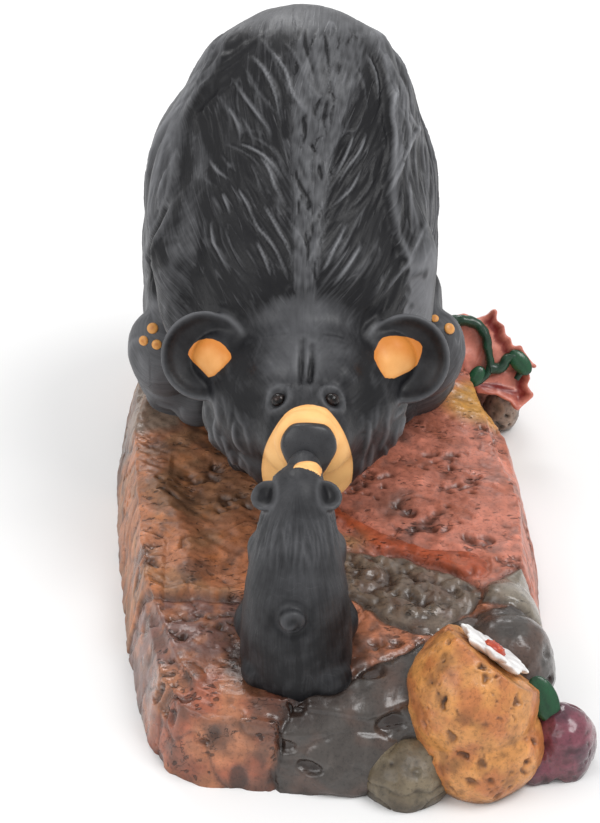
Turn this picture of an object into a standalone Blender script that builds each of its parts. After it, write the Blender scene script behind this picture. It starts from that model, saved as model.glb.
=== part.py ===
"""A painted resin figurine: a mother bear bends down to the cub in front of her on a slab of rock.

The whole figurine is one casting, so it is one solid: both bears, the slab, the stones along its
front, the leaf with its vine and the flower. Lengths are metres, +Z is up, the bears look along -Y
and the origin is the middle of the underside.

Each part is massed in clay first: ellipsoids, tapered limbs and cut plates are fused by a voxel
remesh and smoothed, then the fur, the pits and the ledges are carved along the surface normals.
"""
import math

import bmesh
import bpy
from mathutils import Euler, Matrix, Vector, noise

MM = 0.001

# The rock slab. Its walls flare outward to the ground. Its stones are laid out in parts of its width.
SLAB_LENGTH = 0.190
SLAB_WIDTH = 0.115
SLAB_HEIGHT = 0.0225
SLAB_FRONT_EDGE = 0.006
SLAB_MIDDLE = 0.006
WALL_FLARE = 0.0065
EDGE_ROUNDING = 0.0035
ROCK_PARTS = 115.0
ROCK_RELIEF = 0.0016
FACET_SIZE = 0.014
ROUGHNESS_SIZE = 0.0045
PIT_SPACING = 0.0036
LEDGE_STEP = 0.0015
LEDGE_RUN = 0.034

# The figures. Each is laid out in parts of its own height above the rock.
MOTHER_HEIGHT = 0.1125
MOTHER_PARTS = 112.5
MOTHER_SEAT_FROM_FRONT = 0.150
CUB_HEIGHT = 0.050
CUB_PARTS = 50.0
CUB_SEAT_FROM_FRONT = 0.0285
EAR_DIAMETER = 0.0225
EAR_THICKNESS = 0.0036
EAR_CUP_DEPTH = 0.0026
FUR_PITCH = 0.0076
FUR_DEPTH = 0.0016

# The stones, the leaf, the vine and the flower.
BOULDER_SIZE = (0.031, 0.035, 0.0376)
STONE_ROUGHNESS = 0.0011
STONE_LUMP_SIZE = 0.009
LEAF_SPAN = 0.031
LEAF_THICKNESS = 0.0026
VINE_DIAMETER = 0.0031
FLOWER_DIAMETER = 0.0184
PETAL_THICKNESS = 0.0024
PETAL_COUNT = 8

# How finely the clay is fused, and how many triangles the cast keeps.
BODY_VOXEL = 0.0018
DETAIL_VOXEL = 0.0009
CAST_VOXEL = 0.0010
CAST_TRIANGLES = 9400
UNDERSIDE_TRIM = 0.0002

FUR_COLOUR = (0.028, 0.030, 0.034, 1.0)
ROCK_COLOUR = (0.36, 0.16, 0.08, 1.0)


def clear_scene():
    """Removes every object that the file opened with."""
    for old in list(bpy.data.objects):
        bpy.data.objects.remove(old, do_unlink=True)


def painted(name, colour, roughness):
    """Returns a painted resin material."""
    material = bpy.data.materials.new(name)
    material.use_nodes = True
    shader = material.node_tree.nodes["Principled BSDF"]
    shader.inputs["Base Color"].default_value = colour
    shader.inputs["Roughness"].default_value = roughness
    shader.inputs["Metallic"].default_value = 0.0
    return material


class Clay:
    """A lump of clay: masses are pressed on, fused into one skin, and carved."""

    def __init__(self, name, origin, part):
        """Starts an empty lump at a world origin, measured in parts of this many metres."""
        self.name = name
        self.origin = Vector(origin)
        self.part = part
        self.form = bmesh.new()

    def move_to(self, origin, part):
        """Measures the next masses from another origin, in other parts."""
        self.origin = Vector(origin)
        self.part = part

    def place(self, point):
        """Returns a point of the layout in world metres."""
        return self.origin + Vector(point) * self.part

    def ball(self, centre, radii, turn=(0.0, 0.0, 0.0), fineness=4):
        """Presses an ellipsoid on, turned by degrees about X, Y and Z."""
        spin = Euler([math.radians(angle) for angle in turn]).to_matrix().to_4x4()
        size = Matrix.Diagonal([radius * self.part for radius in radii] + [1.0])
        place = Matrix.Translation(self.place(centre)) @ spin @ size
        bmesh.ops.create_icosphere(self.form, subdivisions=fineness, radius=1.0, matrix=place)

    def limb(self, stations, steps=6):
        """Presses a tapered limb on, through (point, radius) stations."""
        for (start, thick), (end, thin) in zip(stations, stations[1:]):
            for step in range(steps + 1):
                share = step / steps
                centre = Vector(start).lerp(Vector(end), share)
                radius = thick + (thin - thick) * share
                self.ball(centre, (radius, radius, radius), fineness=3)

    def cup(self, centre, facing, diameter, thickness, depth):
        """Presses a round hollow ear on, its hollow toward the facing direction."""
        rim = diameter / 2
        outline = [
            (0.0, -thickness),
            (rim * 0.7, -thickness * 0.8),
            (rim * 0.97, -thickness * 0.1),
            (rim, thickness * 0.35),
            (rim * 0.9, thickness * 0.5),
            (rim * 0.7, thickness * 0.25 - depth * 0.4),
            (0.0, thickness * 0.3 - depth),
        ]
        points = [self.form.verts.new((radius, 0.0, height)) for radius, height in outline]
        edges = [self.form.edges.new(pair) for pair in zip(points, points[1:])]
        spun = bmesh.ops.spin(
            self.form, geom=points + edges, cent=(0, 0, 0), axis=(0, 0, 1), angle=math.tau, steps=32
        )
        ring = list({v for item in spun["geom_last"] for v in getattr(item, "verts", [item])})
        turned = self.connected(points + ring)
        place = Matrix.Translation(self.place(centre))
        aim = Vector(facing).to_track_quat("Z", "Y").to_matrix().to_4x4()
        bmesh.ops.transform(self.form, matrix=place @ aim, verts=turned)
        bmesh.ops.remove_doubles(self.form, verts=turned, dist=0.02 * MM)

    def connected(self, seeds):
        """Returns every vertex that the seeds reach along edges."""
        found = set(seeds)
        front = list(seeds)
        while front:
            vert = front.pop()
            for edge in vert.link_edges:
                other = edge.other_vert(vert)
                if other not in found:
                    found.add(other)
                    front.append(other)
        return list(found)

    def plate(self, outline, thickness, centre, turn):
        """Presses a flat plate on: an outline in XY and a thickness in Z, turned by degrees."""
        spin = Euler([math.radians(angle) for angle in turn]).to_matrix().to_4x4()
        place = Matrix.Translation(self.place(centre)) @ spin
        corners = [self.form.verts.new((x, y, -thickness / 2)) for x, y in outline]
        face = self.form.faces.new(corners)
        raised = bmesh.ops.extrude_face_region(self.form, geom=[face])["geom"]
        top = [item for item in raised if isinstance(item, bmesh.types.BMVert)]
        bmesh.ops.translate(self.form, verts=top, vec=(0, 0, thickness))
        bmesh.ops.transform(self.form, matrix=place, verts=corners + top)

    def add_mesh(self, mesh):
        """Presses an already carved skin on."""
        self.form.from_mesh(mesh)

    def fuse(self, voxel, smoothing):
        """Fuses the masses into one skin and returns its mesh."""
        bmesh.ops.recalc_face_normals(self.form, faces=self.form.faces)
        mesh = bpy.data.meshes.new(self.name)
        self.form.to_mesh(mesh)
        self.form.free()
        lump = bpy.data.objects.new(self.name, mesh)
        bpy.context.collection.objects.link(lump)
        remesh = lump.modifiers.new("fuse", "REMESH")
        remesh.mode = "VOXEL"
        remesh.voxel_size = voxel
        smooth = lump.modifiers.new("smooth", "SMOOTH")
        smooth.factor = 0.5
        smooth.iterations = smoothing
        fused = baked(lump)
        bpy.data.objects.remove(lump, do_unlink=True)
        return fused


def baked(thing):
    """Returns a new mesh of an object as its modifiers leave it."""
    graph = bpy.context.evaluated_depsgraph_get()
    return bpy.data.meshes.new_from_object(thing.evaluated_get(graph), depsgraph=graph)


def carve(mesh, relief):
    """Moves every vertex along its normal by relief(point, normal)."""
    normals = [vertex.normal.copy() for vertex in mesh.vertices]
    for vertex, normal in zip(mesh.vertices, normals):
        vertex.co += normal * relief(vertex.co.copy(), normal)


def wander(point, size, seed):
    """Returns a smooth noise between about -1 and 1 with features of the given size."""
    return noise.noise(point / size + Vector((seed, seed * 1.7, -seed)))


def groove(phase, share):
    """Returns how deep a point is in evenly spaced grooves: 1 at a groove, 0 between them."""
    distance = abs(phase - round(phase))
    return math.exp(-((distance / share) ** 2))


def fur(centre_x, lean, pitch, depth):
    """Returns a relief of long locks that run down and toward the midline."""

    def relief(point, normal):
        across = abs(point.x - centre_x)
        sway = wander(point, 6.0 * pitch, 3.0) * 1.1 + wander(point, 2.4 * pitch, 8.0) * 0.35
        phase = (across + lean * (point.z - point.y)) / pitch + sway
        locks = 1.0 - 0.75 * groove(phase, 0.17) - 0.25 * groove(phase * 2.0 + 0.4, 0.25)
        strength = 0.55 + 0.45 * wander(point, 4.0 * pitch, 5.0)
        return (locks - 0.8) * depth * (strength + 0.35)

    return relief


def mother_origin():
    """Returns the place on the rock under the mother's seat."""
    return Vector((0.0, MOTHER_SEAT_FROM_FRONT, SLAB_HEIGHT))


def mother_part():
    """Returns one part of the mother's height in metres."""
    return MOTHER_HEIGHT / MOTHER_PARTS


def mother_body():
    """Returns the mother's back, haunches and shoulders as one carved skin."""
    clay = Clay("mother_body", mother_origin(), mother_part())
    clay.ball((-2.8, 0, 40), (40.2, 45, 43))
    clay.ball((-2.3, -2, 59), (39.3, 41, 39))
    clay.ball((0.2, -3, 74.5), (31.8, 34, 37))
    clay.ball((-1.0, 10, 28), (36, 40, 34))
    clay.ball((-0.5, -20, 62), (34, 30, 31))
    clay.ball((0.0, -35, 54), (30, 28, 27))
    clay.ball((0.5, -53, 43), (24, 21, 18), turn=(20, 0, 0))
    clay.ball((0.0, -36, 24), (23, 22, 28))
    for haunch in (-24.5, 17.5):
        clay.ball((haunch, 3, 21), (19, 31, 26))
    skin = clay.fuse(BODY_VOXEL * 1.6, 14)
    finer = Clay("mother_body", mother_origin(), mother_part())
    finer.add_mesh(skin)
    for side, reach in ((-1, 0.0), (1, -2.5)):
        shoulder = (side * (19.0 + reach), -24, 74)
        upper = (side * (27.0 + reach), -34, 58)
        elbow = (side * (25.5 + reach * 0.6), -38, 44)
        wrist = (side * 15.5, -37, 19)
        hand = (side * 11.5, -43, 6)
        finer.limb([(shoulder, 9), (upper, 10.8), (elbow, 10.2), (wrist, 8), (hand, 8.5)])
    skin = finer.fuse(DETAIL_VOXEL * 1.2, 7)
    carve(skin, fur(0.0, 0.30, FUR_PITCH, FUR_DEPTH))
    return skin


def mother_legs():
    """Returns the mother's shins and upturned feet as one carved skin."""
    clay = Clay("mother_legs", mother_origin(), mother_part())
    for side, reach in ((-1, 1.2), (1, -0.6)):
        hip = (side * (19 + reach * 2), 4, 26)
        knee = (side * (28.5 + reach * 2), -17, 37)
        ankle = (side * (31 + reach), -11, 10)
        clay.limb([(hip, 18), (knee, 10.5), (ankle, 9)])
        clay.ball((side * (32.5 + reach), -14, 8), (11, 9.5, 11), turn=(0, 0, side * 30))
        clay.ball((side * (35.5 + reach), -24.5, 23), (9.2, 8.2, 12.5), turn=(-8, side * 8, 0))
        clay.ball((side * (26 + reach), -19, 5), (8, 8, 8))
    skin = clay.fuse(DETAIL_VOXEL * 1.2, 6)
    carve(skin, fur(0.0, 0.05, FUR_PITCH * 0.7, FUR_DEPTH * 0.6))
    return skin


def mother_head():
    """Returns the mother's head with muzzle, nose and cheeks as one carved skin."""
    clay = Clay("mother_head", mother_origin(), mother_part())
    clay.ball((1.0, -65, 38), (24, 21, 20.5), turn=(-20, 0, 0))
    clay.ball((1.0, -70, 27), (17.5, 15, 14), turn=(-20, 0, 0))
    clay.ball((1.2, -74, 21), (12.5, 10, 8.5))
    clay.ball((1.6, -81, 39.5), (13.0, 14, 13.2), turn=(-28, 0, 0))
    clay.ball((1.6, -87.5, 41.0), (11.2, 8.5, 10.8), turn=(-28, 0, 0))
    for side in (-1, 1):
        clay.ball((1.0 + side * 16, -63, 29), (9, 12, 13), turn=(0, side * 24, 0))
        clay.ball((1.3 + side * 8.0, -75.5, 49.5), (6.5, 6, 5.5), turn=(-30, 0, 0))
        clay.ball((1.0 + side * 21, -61, 45), (7, 6, 8))
    skin = clay.fuse(DETAIL_VOXEL * 1.3, 7)
    carve(skin, fur(1.0 * mother_part(), -0.55, FUR_PITCH * 0.75, FUR_DEPTH * 0.55))
    return skin


def mother_trim(cast):
    """Presses the mother's nose, brows and ears on, unsmoothed."""
    cast.move_to(mother_origin(), mother_part())
    cast.ball((1.5, -95.2, 44.6), (7.4, 4.6, 6.8), turn=(-32, 0, 0))
    for across in (-6.3, 8.9):
        cast.ball((across, -81.0, 47.6), (2.6, 2.4, 2.6))
    for side, centre in ((-1, (-23.3, -62.5, 47.4)), (1, (26.0, -62.5, 46.6))):
        facing = (side * 0.10, -0.82, 0.55)
        cast.cup(centre, facing, EAR_DIAMETER, EAR_THICKNESS, EAR_CUP_DEPTH)


def cub():
    """Returns the upright cub as one carved skin."""
    origin = Vector((0.0, CUB_SEAT_FROM_FRONT, SLAB_HEIGHT))
    part = CUB_HEIGHT / CUB_PARTS
    clay = Clay("cub", origin, part)
    seat = ((-0.9, 0.8, 2.0), 13.6)
    hips = ((-0.9, 0.6, 11.0), 13.2)
    waist = ((-0.9, 1.0, 21.0), 12.2)
    shoulders = ((-0.7, 3.4, 31.0), 10.3)
    nape = ((-0.5, 6.4, 40.0), 8.2)
    clay.limb([seat, hips, waist, shoulders, nape], steps=10)
    clay.ball((-0.5, 7.5, 41), (7.4, 8.9, 8.8), turn=(30, 0, 0))
    clay.ball((0.9, 14.0, 43.6), (4.6, 7.0, 4.2), turn=(22, 0, 0))
    for side in (-1, 1):
        shoulder = (-0.7 + side * 7.4, 5, 30)
        elbow = (-0.7 + side * 7.8, 10, 23)
        paw = (-0.7 + side * 5.2, 15, 28)
        clay.limb([(shoulder, 4.4), (elbow, 4.0), (paw, 3.4)], steps=4)
        knee = (-0.9 + side * 9, 8, 5)
        foot = (-0.9 + side * 8.5, 16, 3.5)
        clay.limb([(knee, 6.2), (foot, 4.8)], steps=4)
        clay.ball((-0.9 + side * 7.2, -6.0 - side * 1.2, 1.0), (6.2, 5.2, 5.0))
    skin = clay.fuse(DETAIL_VOXEL * 0.9, 9)
    carve(skin, fur(-1.0 * part, 0.12, FUR_PITCH * 0.75, FUR_DEPTH * 0.4))
    trimmed = Clay("cub", origin, part)
    trimmed.add_mesh(skin)
    trimmed.ball((-2.1, -10.9, 21.5), (3.1, 2.6, 3.1))
    for side in (-1, 1):
        trimmed.ball((-0.8 + side * 6.8, 5.8, 44.1), (4.0, 2.0, 4.0), turn=(-62, 0, side * 35))
    return trimmed.fuse(DETAIL_VOXEL * 0.75, 2)


def slab_outline(length, width, inset):
    """Returns the slab's corners counter-clockwise from its front, moved in by an inset."""
    corners = [
        (-0.060, -0.006), (0.100, 0.000), (0.350, 0.030), (0.460, 0.150), (0.490, 0.295),
        (0.500, 0.430), (0.480, 0.616), (0.420, 0.730), (0.390, 0.837), (0.320, 0.958),
        (0.170, 1.000), (-0.230, 1.000), (-0.390, 0.970), (-0.490, 0.810), (-0.500, 0.626),
        (-0.473, 0.453), (-0.438, 0.268), (-0.378, 0.092), (-0.325, 0.032), (-0.262, 0.008),
    ]
    middle = SLAB_FRONT_EDGE + length / 2
    points = []
    for across, along in corners:
        x = SLAB_MIDDLE + across * (width - 2 * inset)
        y = middle + (along - 0.5) * (length - 2 * inset)
        points.append((x, y))
    return points


def rock_relief(point, normal):
    """Returns the relief of broken rock: broad facets, stepped ledges and small pits."""
    broad = wander(point, FACET_SIZE, 1.0)
    rough = wander(point, ROUGHNESS_SIZE, 2.0)
    upper = wander(point, LEDGE_RUN, 6.0) < 0.05
    flatness = min(1.0, max(0.0, normal.z))
    ledge = LEDGE_STEP * flatness * (0.25 if upper else -0.25)
    pits = groove(wander(point, PIT_SPACING, 4.0) * 2.2, 0.10)
    return ROCK_RELIEF * (0.7 * broad + 0.35 * rough - 0.35 * pits) + ledge


def rock_slab():
    """Returns the slab with its broken walls and uneven top as one carved skin."""
    form = bmesh.new()
    rings = []
    below = -2 * CAST_VOXEL
    heights = ((below, 0.0), (SLAB_HEIGHT * 0.5, WALL_FLARE * 0.45), (SLAB_HEIGHT, WALL_FLARE))
    for height, inset in heights:
        outline = slab_outline(SLAB_LENGTH, SLAB_WIDTH, inset)
        rings.append([form.verts.new((x, y, height)) for x, y in outline])
    for lower, upper in zip(rings, rings[1:]):
        count = len(lower)
        for index in range(count):
            after = (index + 1) % count
            form.faces.new((lower[index], lower[after], upper[after], upper[index]))
    form.faces.new(list(reversed(rings[0])))
    lid = form.faces.new(rings[-1])
    rim = list(lid.edges)
    bmesh.ops.bevel(form, geom=rim, offset=EDGE_ROUNDING, segments=3, affect="EDGES")
    clay = Clay("rock_slab", (0, 0, 0), 1.0)
    mesh = bpy.data.meshes.new("rock_slab")
    form.to_mesh(mesh)
    form.free()
    clay.add_mesh(mesh)
    skin = clay.fuse(DETAIL_VOXEL * 1.4, 6)
    carve(skin, rock_relief)
    return skin


def rock_part():
    """Returns one part of the slab's width in metres."""
    return SLAB_WIDTH / ROCK_PARTS


def front_right():
    """Returns the slab's front right corner on the ground."""
    return Vector((SLAB_MIDDLE + SLAB_WIDTH / 2, SLAB_FRONT_EDGE, 0.0))


def rear_right():
    """Returns the slab's right edge on the ground, beside the mother."""
    across, along = 0.405, 0.79
    return Vector((SLAB_MIDDLE + SLAB_WIDTH * across, SLAB_FRONT_EDGE + SLAB_LENGTH * along, 0.0))


def stone_relief(point, normal):
    """Returns the relief of a worn stone: soft lumps with small pits."""
    lumps = wander(point, STONE_LUMP_SIZE, 11.0)
    pits = groove(wander(point, PIT_SPACING, 14.0) * 2.0, 0.12)
    return STONE_ROUGHNESS * (lumps - 0.6 * pits)


def stones():
    """Returns the boulder, the pebbles and the inlaid stones as one carved skin."""
    clay = Clay("stones", front_right(), rock_part())
    half = Vector(BOULDER_SIZE) / (2 * rock_part())
    clay.ball((-22.7, 14, 18), half)
    clay.ball((-21.0, 9.6, 8), (half.x, half.y * 0.88, half.z * 0.74))
    clay.ball((-25.5, 14.5, 22), (half.x * 0.81, half.y * 0.70, half.z * 0.62))
    clay.ball((-38.4, 3.8, 3.3), (10.9, 10.3, 9))
    clay.ball((-34.5, 3.5, 5.5), (6.5, 7, 6.8))
    clay.ball((-1.0, 11.3, 5.5), (8.6, 8.8, 10.6))
    clay.ball((-7.0, 8, 2.5), (7, 6.5, 5))
    clay.ball((-52.5, 11, 5), (19.5, 13, 15.8), turn=(0, 4, 0))
    clay.ball((-13.5, 31, 12), (12.5, 12, 14))
    clay.ball((-15.0, 43, 11), (11.5, 14, 15.5), turn=(0, 8, 0))
    clay.ball((-36.5, 48, 12), (17, 12, 11.5))
    clay.move_to(rear_right(), rock_part())
    clay.ball((4.6, 0, 7.5), (6.5, 6.5, 8.4))
    clay.ball((-1, 7, 12), (12.5, 11, 16.5), turn=(-10, 14, 0))
    skin = clay.fuse(DETAIL_VOXEL, 2)
    carve(skin, stone_relief)
    seat, aim = flower_seat()
    press_flat(skin, seat, aim.col[2], FLOWER_DIAMETER)
    return skin


def press_flat(mesh, seat, facing, reach):
    """Presses the mesh down to the plane through the seat, within a reach of it."""
    for vertex in mesh.vertices:
        offset = vertex.co - seat
        rise = offset.dot(facing)
        if rise > 0 and offset.length < reach:
            vertex.co -= facing * rise


def flower_seat():
    """Returns the place of the flower on the boulder and the axes that it lies in."""
    seat = front_right() + Vector((-18.8, 17.2, 28.3)) * rock_part()
    return seat, Vector((0.59, 0.38, 0.73)).to_track_quat("Z", "Y").to_matrix()


def leaf_outline(span):
    """Returns the outline of a five-lobed leaf, each lobe a long point between two short ones."""
    lobes = 5
    points = []
    for lobe in range(lobes):
        middle = math.radians(90 + (lobe - (lobes - 1) / 2) * 60)
        reach = span * (0.56 - 0.04 * abs(lobe - (lobes - 1) / 2))
        for offset, share in ((-26, 0.66), (-12, 0.80), (0, 1.0), (12, 0.80), (26, 0.66)):
            angle = middle + math.radians(offset)
            points.append((math.cos(angle) * reach * share, math.sin(angle) * reach * share))
    return points


def leaf_and_vine():
    """Returns the fallen leaf with the vine and its two small leaves on it as one skin."""
    clay = Clay("leaf_and_vine", rear_right(), rock_part())
    middle, turn = (1.4, -1, 22), (56, 5, 0)
    clay.plate(leaf_outline(LEAF_SPAN), LEAF_THICKNESS, middle, turn=turn)
    clay.move_to(clay.place(middle), LEAF_SPAN)
    aim = Euler([math.radians(angle) for angle in turn]).to_matrix()
    radius = VINE_DIAMETER / 2 / LEAF_SPAN
    lift = LEAF_THICKNESS / 2 / LEAF_SPAN + radius * 0.6
    stem = [(-0.40, 0.36), (-0.23, 0.36), (-0.12, 0.30), (-0.05, 0.12), (-0.02, -0.05), (-0.10, -0.17)]
    loop = [(-0.02, -0.04), (0.08, -0.02), (0.14, 0.07), (0.24, 0.06), (0.27, -0.03)]
    for route in (stem, loop):
        clay.limb([(aim @ Vector((across, up, lift)), radius) for across, up in route], steps=6)
    small = (((-0.14, -0.11), (0.10, 0.07), 60), ((0.24, 0.03), (0.13, 0.08), -50))
    for (across, up), half, spin in small:
        lie = aim @ Matrix.Rotation(math.radians(spin), 3, "Z")
        degrees = [math.degrees(angle) for angle in lie.to_euler()]
        clay.ball(aim @ Vector((across, up, lift)), (*half, radius), turn=degrees, fineness=3)
    return clay.fuse(DETAIL_VOXEL * 0.7, 1)


def flower():
    """Returns the flower on the boulder, its petals in a ring, and the leaf below it."""
    clay = Clay("flower", front_right(), rock_part())
    seat, aim = flower_seat()
    centre = (seat - clay.origin) / rock_part()
    petal = FLOWER_DIAMETER / 4 / rock_part()
    thickness = PETAL_THICKNESS / 2 / rock_part()
    for index in range(PETAL_COUNT):
        around = Matrix.Rotation(math.tau * index / PETAL_COUNT, 3, "Z")
        middle = centre + aim @ around @ Vector((petal, 0.0, 0.0))
        turn = [math.degrees(angle) for angle in (aim @ around).to_euler()]
        clay.ball(middle, (petal, petal * 0.7, thickness), turn=turn, fineness=3)
    clay.ball(centre, (2.8, 2.8, 2.4), fineness=3)
    clay.ball((-5, 13, 18.2), (6.2, 3.9, 1.8), turn=(37, 48, -45))
    return clay.fuse(DETAIL_VOXEL * 0.7, 1)


def cast_in_one():
    """Fuses every skin into one cast with a flat underside and returns its object."""
    cast = Clay("bear_figurine", (0, 0, 0), MM)
    bears = (mother_body(), mother_legs(), mother_head(), cub())
    ground = (rock_slab(), stones(), leaf_and_vine(), flower())
    for skin in bears + ground:
        cast.add_mesh(skin)
    mother_trim(cast)
    mesh = cast.fuse(CAST_VOXEL, 1)
    figurine = bpy.data.objects.new("bear_figurine", mesh)
    bpy.context.collection.objects.link(figurine)
    flatten_underside(figurine.data, 0.0)
    thin_out(figurine, CAST_TRIANGLES)
    flatten_underside(figurine.data, UNDERSIDE_TRIM)
    return figurine


def thin_out(thing, triangles):
    """Collapses the flattest edges of an object until about this many triangles are left."""
    thing.data.calc_loop_triangles()
    decimate = thing.modifiers.new("thin out", "DECIMATE")
    decimate.ratio = min(1.0, triangles / len(thing.data.loop_triangles))
    decimate.use_collapse_triangulate = True
    thinned = baked(thing)
    thing.modifiers.clear()
    thing.data = thinned


def flatten_underside(mesh, height):
    """Cuts the mesh off at a height and closes it with one flat face."""
    form = bmesh.new()
    form.from_mesh(mesh)
    everything = form.verts[:] + form.edges[:] + form.faces[:]
    level = (0.0, 0.0, height)
    cut = bmesh.ops.bisect_plane(
        form, geom=everything, dist=0.001 * MM, plane_co=level, plane_no=(0, 0, -1), clear_outer=True
    )
    loose = [edge for edge in cut["geom_cut"] if isinstance(edge, bmesh.types.BMEdge)]
    bmesh.ops.holes_fill(form, edges=loose, sides=0)
    bmesh.ops.remove_doubles(form, verts=form.verts, dist=0.05 * MM)
    bmesh.ops.triangulate(form, faces=form.faces)
    bmesh.ops.recalc_face_normals(form, faces=form.faces)
    form.to_mesh(mesh)
    form.free()


def centre(mesh):
    """Moves the mesh so that the middle of its underside is the origin."""
    middle = Vector((0.0, 0.0, UNDERSIDE_TRIM))
    for axis in (0, 1):
        reach = [vertex.co[axis] for vertex in mesh.vertices]
        middle[axis] = (min(reach) + max(reach)) / 2
    mesh.transform(Matrix.Translation(-middle))


def dress(figurine):
    """Gives the bears the fur material and the slab with its stones the rock material."""
    mesh = figurine.data
    mesh.materials.clear()
    mesh.materials.append(painted("painted_fur", FUR_COLOUR, 0.55))
    mesh.materials.append(painted("painted_rock", ROCK_COLOUR, 0.4))
    for polygon in mesh.polygons:
        polygon.material_index = 1 if polygon.center.z < SLAB_HEIGHT + MM else 0
    mesh.shade_smooth()
    mesh.set_sharp_from_angle(angle=math.radians(40))


def main():
    """Builds the figurine."""
    clear_scene()
    figurine = cast_in_one()
    centre(figurine.data)
    dress(figurine)


main()
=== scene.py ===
"""Dresses the cast resin bears: a mother bear bends down to her cub on a slab of painted rock.

Everything is laid out in millimetres with x to the right, y away from the viewer and z up from the
ground, as the modeller's drawing has it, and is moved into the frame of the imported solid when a
piece is finished. Each sub-assembly is a class that masses its clay, carves it and paints it.
"""
import itertools
import logging
import math
from dataclasses import dataclass, field
from enum import Enum

import bmesh
import bpy
import numpy as np
from mathutils import Euler, Matrix, Vector


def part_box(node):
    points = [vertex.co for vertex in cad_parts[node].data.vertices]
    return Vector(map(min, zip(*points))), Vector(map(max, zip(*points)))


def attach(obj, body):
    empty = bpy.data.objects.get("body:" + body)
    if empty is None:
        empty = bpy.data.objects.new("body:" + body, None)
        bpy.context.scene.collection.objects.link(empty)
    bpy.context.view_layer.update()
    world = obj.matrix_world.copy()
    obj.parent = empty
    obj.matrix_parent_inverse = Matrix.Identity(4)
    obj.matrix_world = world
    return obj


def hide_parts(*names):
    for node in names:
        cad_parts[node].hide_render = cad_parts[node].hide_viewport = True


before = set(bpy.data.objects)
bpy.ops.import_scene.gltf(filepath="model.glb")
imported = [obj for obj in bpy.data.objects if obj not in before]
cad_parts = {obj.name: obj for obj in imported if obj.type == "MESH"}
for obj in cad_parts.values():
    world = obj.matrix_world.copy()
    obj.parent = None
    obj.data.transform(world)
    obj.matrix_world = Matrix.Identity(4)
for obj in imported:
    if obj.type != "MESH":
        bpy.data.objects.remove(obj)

log = logging.getLogger("bears")

NODE = "bear_figurine"
BODY = "root"
MM = 0.001
Array = np.ndarray
Point = tuple[float, float, float]
Colour = tuple[float, float, float]
Node = bpy.types.Node
Socket = bpy.types.NodeSocket


class Slot(Enum):
    """Names of material slots."""

    FUR = "painted_fur"
    ROCK = "painted_rock"
    STONE = "painted_stone"
    LEAF = "painted_leaf"
    FLOWER = "painted_flower"
    EYE = "painted_eye"


# Layout, arrays and small maths.


@dataclass(frozen=True)
class Layout:
    """Where the modeller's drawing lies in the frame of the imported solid, and its landmarks."""

    # The lowest corner of the figurine's box, in the drawing.
    low: Point = (-51.1, -0.1, 0.2)
    # Where the mother sits and where the cub stands, on the rock.
    seat: Point = (0.0, 150.0, 22.5)
    cub_seat: Point = (0.0, 28.5, 22.5)
    # The corners that the stones are measured from: front right and rear right.
    corner: Point = (63.5, 6.0, 0.0)
    rear: Point = (52.6, 156.1, 0.0)

    def placing(self) -> Matrix:
        """Returns the matrix from drawn millimetres to metres in the solid's frame."""
        lowest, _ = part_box(NODE)
        return Matrix.Translation(lowest) @ Matrix.Scale(MM, 4) @ Matrix.Translation(-Vector(self.low))


LAYOUT = Layout()


@dataclass(frozen=True)
class Viewer:
    """Where the figurine is seen from, in the drawing."""

    eye: Point = (0.0, -396.6, 392.1)
    target: Point = (0.0, 60.51, 72.0)

    def seen(self, points: Array) -> Array:
        """Returns where points appear: millimetres right of and above the target, at its distance."""
        sight = np.array(self.target) - np.array(self.eye)
        reach = np.linalg.norm(sight)
        sight /= reach
        rise = np.array((0.0, -sight[2], sight[1]))
        offset = points - np.array(self.eye)
        flat = np.stack([offset[:, 0], offset @ rise], axis=1)
        return flat * (reach / (offset @ sight))[:, None]


VIEWER = Viewer()
# The way from the figurine to the viewer.
TOWARD = np.array((0.0, -0.819, 0.574))


def rgb(red: float, green: float, blue: float) -> Colour:
    """Returns a linear colour from the 0 to 255 values of a paint chart."""
    shares = [value / 255 for value in (red, green, blue)]
    return tuple(s / 12.92 if s <= 0.04045 else ((s + 0.055) / 1.055) ** 2.4 for s in shares)


def smooth(low: float, high: float, values: Array) -> Array:
    """Returns a soft step of the values: 0 below low, 1 above high."""
    share = np.clip((values - low) / (high - low), 0.0, 1.0)
    return share * share * (3.0 - 2.0 * share)


def bell(values: Array, width: Array | float) -> Array:
    """Returns 1 where the values are 0, falling to 0 within about twice a width."""
    return np.exp(-((values / width) ** 2))


def creases(values: Array, width: float) -> Array:
    """Returns 1 where the values cross 0, falling straight to 0 at a width from there."""
    return np.clip(1.0 - np.abs(values) / width, 0.0, 1.0)


def blend(one: Array, other: Array, share: Array) -> Array:
    """Returns one colour, or colours, turned into another by a share for each point."""
    part = np.clip(share, 0.0, 1.0)[:, None]
    return np.asarray(one) * (1.0 - part) + np.asarray(other) * part


def from_line(points: Array, route: list[Point]) -> tuple[Array, Array]:
    """Measures points against a polyline.

    Args:
        points: the points to measure.
        route: the corners of the polyline.

    Returns:
        The distance to the line and the share of its length at the nearest place, for each point.
    """
    corners = np.asarray(route, float)
    lengths = np.linalg.norm(np.diff(corners, axis=0), axis=1)
    best = np.full(len(points), np.inf)
    share = np.zeros(len(points))
    gone = 0.0
    for start, end, length in zip(corners, corners[1:], lengths):
        along = np.clip((points - start) @ (end - start) / length**2, 0.0, 1.0)
        distance = np.linalg.norm(points - (start + along[:, None] * (end - start)), axis=1)
        closer = distance < best
        best = np.where(closer, distance, best)
        share = np.where(closer, (gone + along * length) / lengths.sum(), share)
        gone += length
    return best, share


def from_spots(points: Array, spots: tuple | list) -> Array:
    """Returns the distance of each point to the nearest of some spots."""
    return np.min([np.linalg.norm(points - np.array(spot), axis=1) for spot in spots], axis=0)


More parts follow.
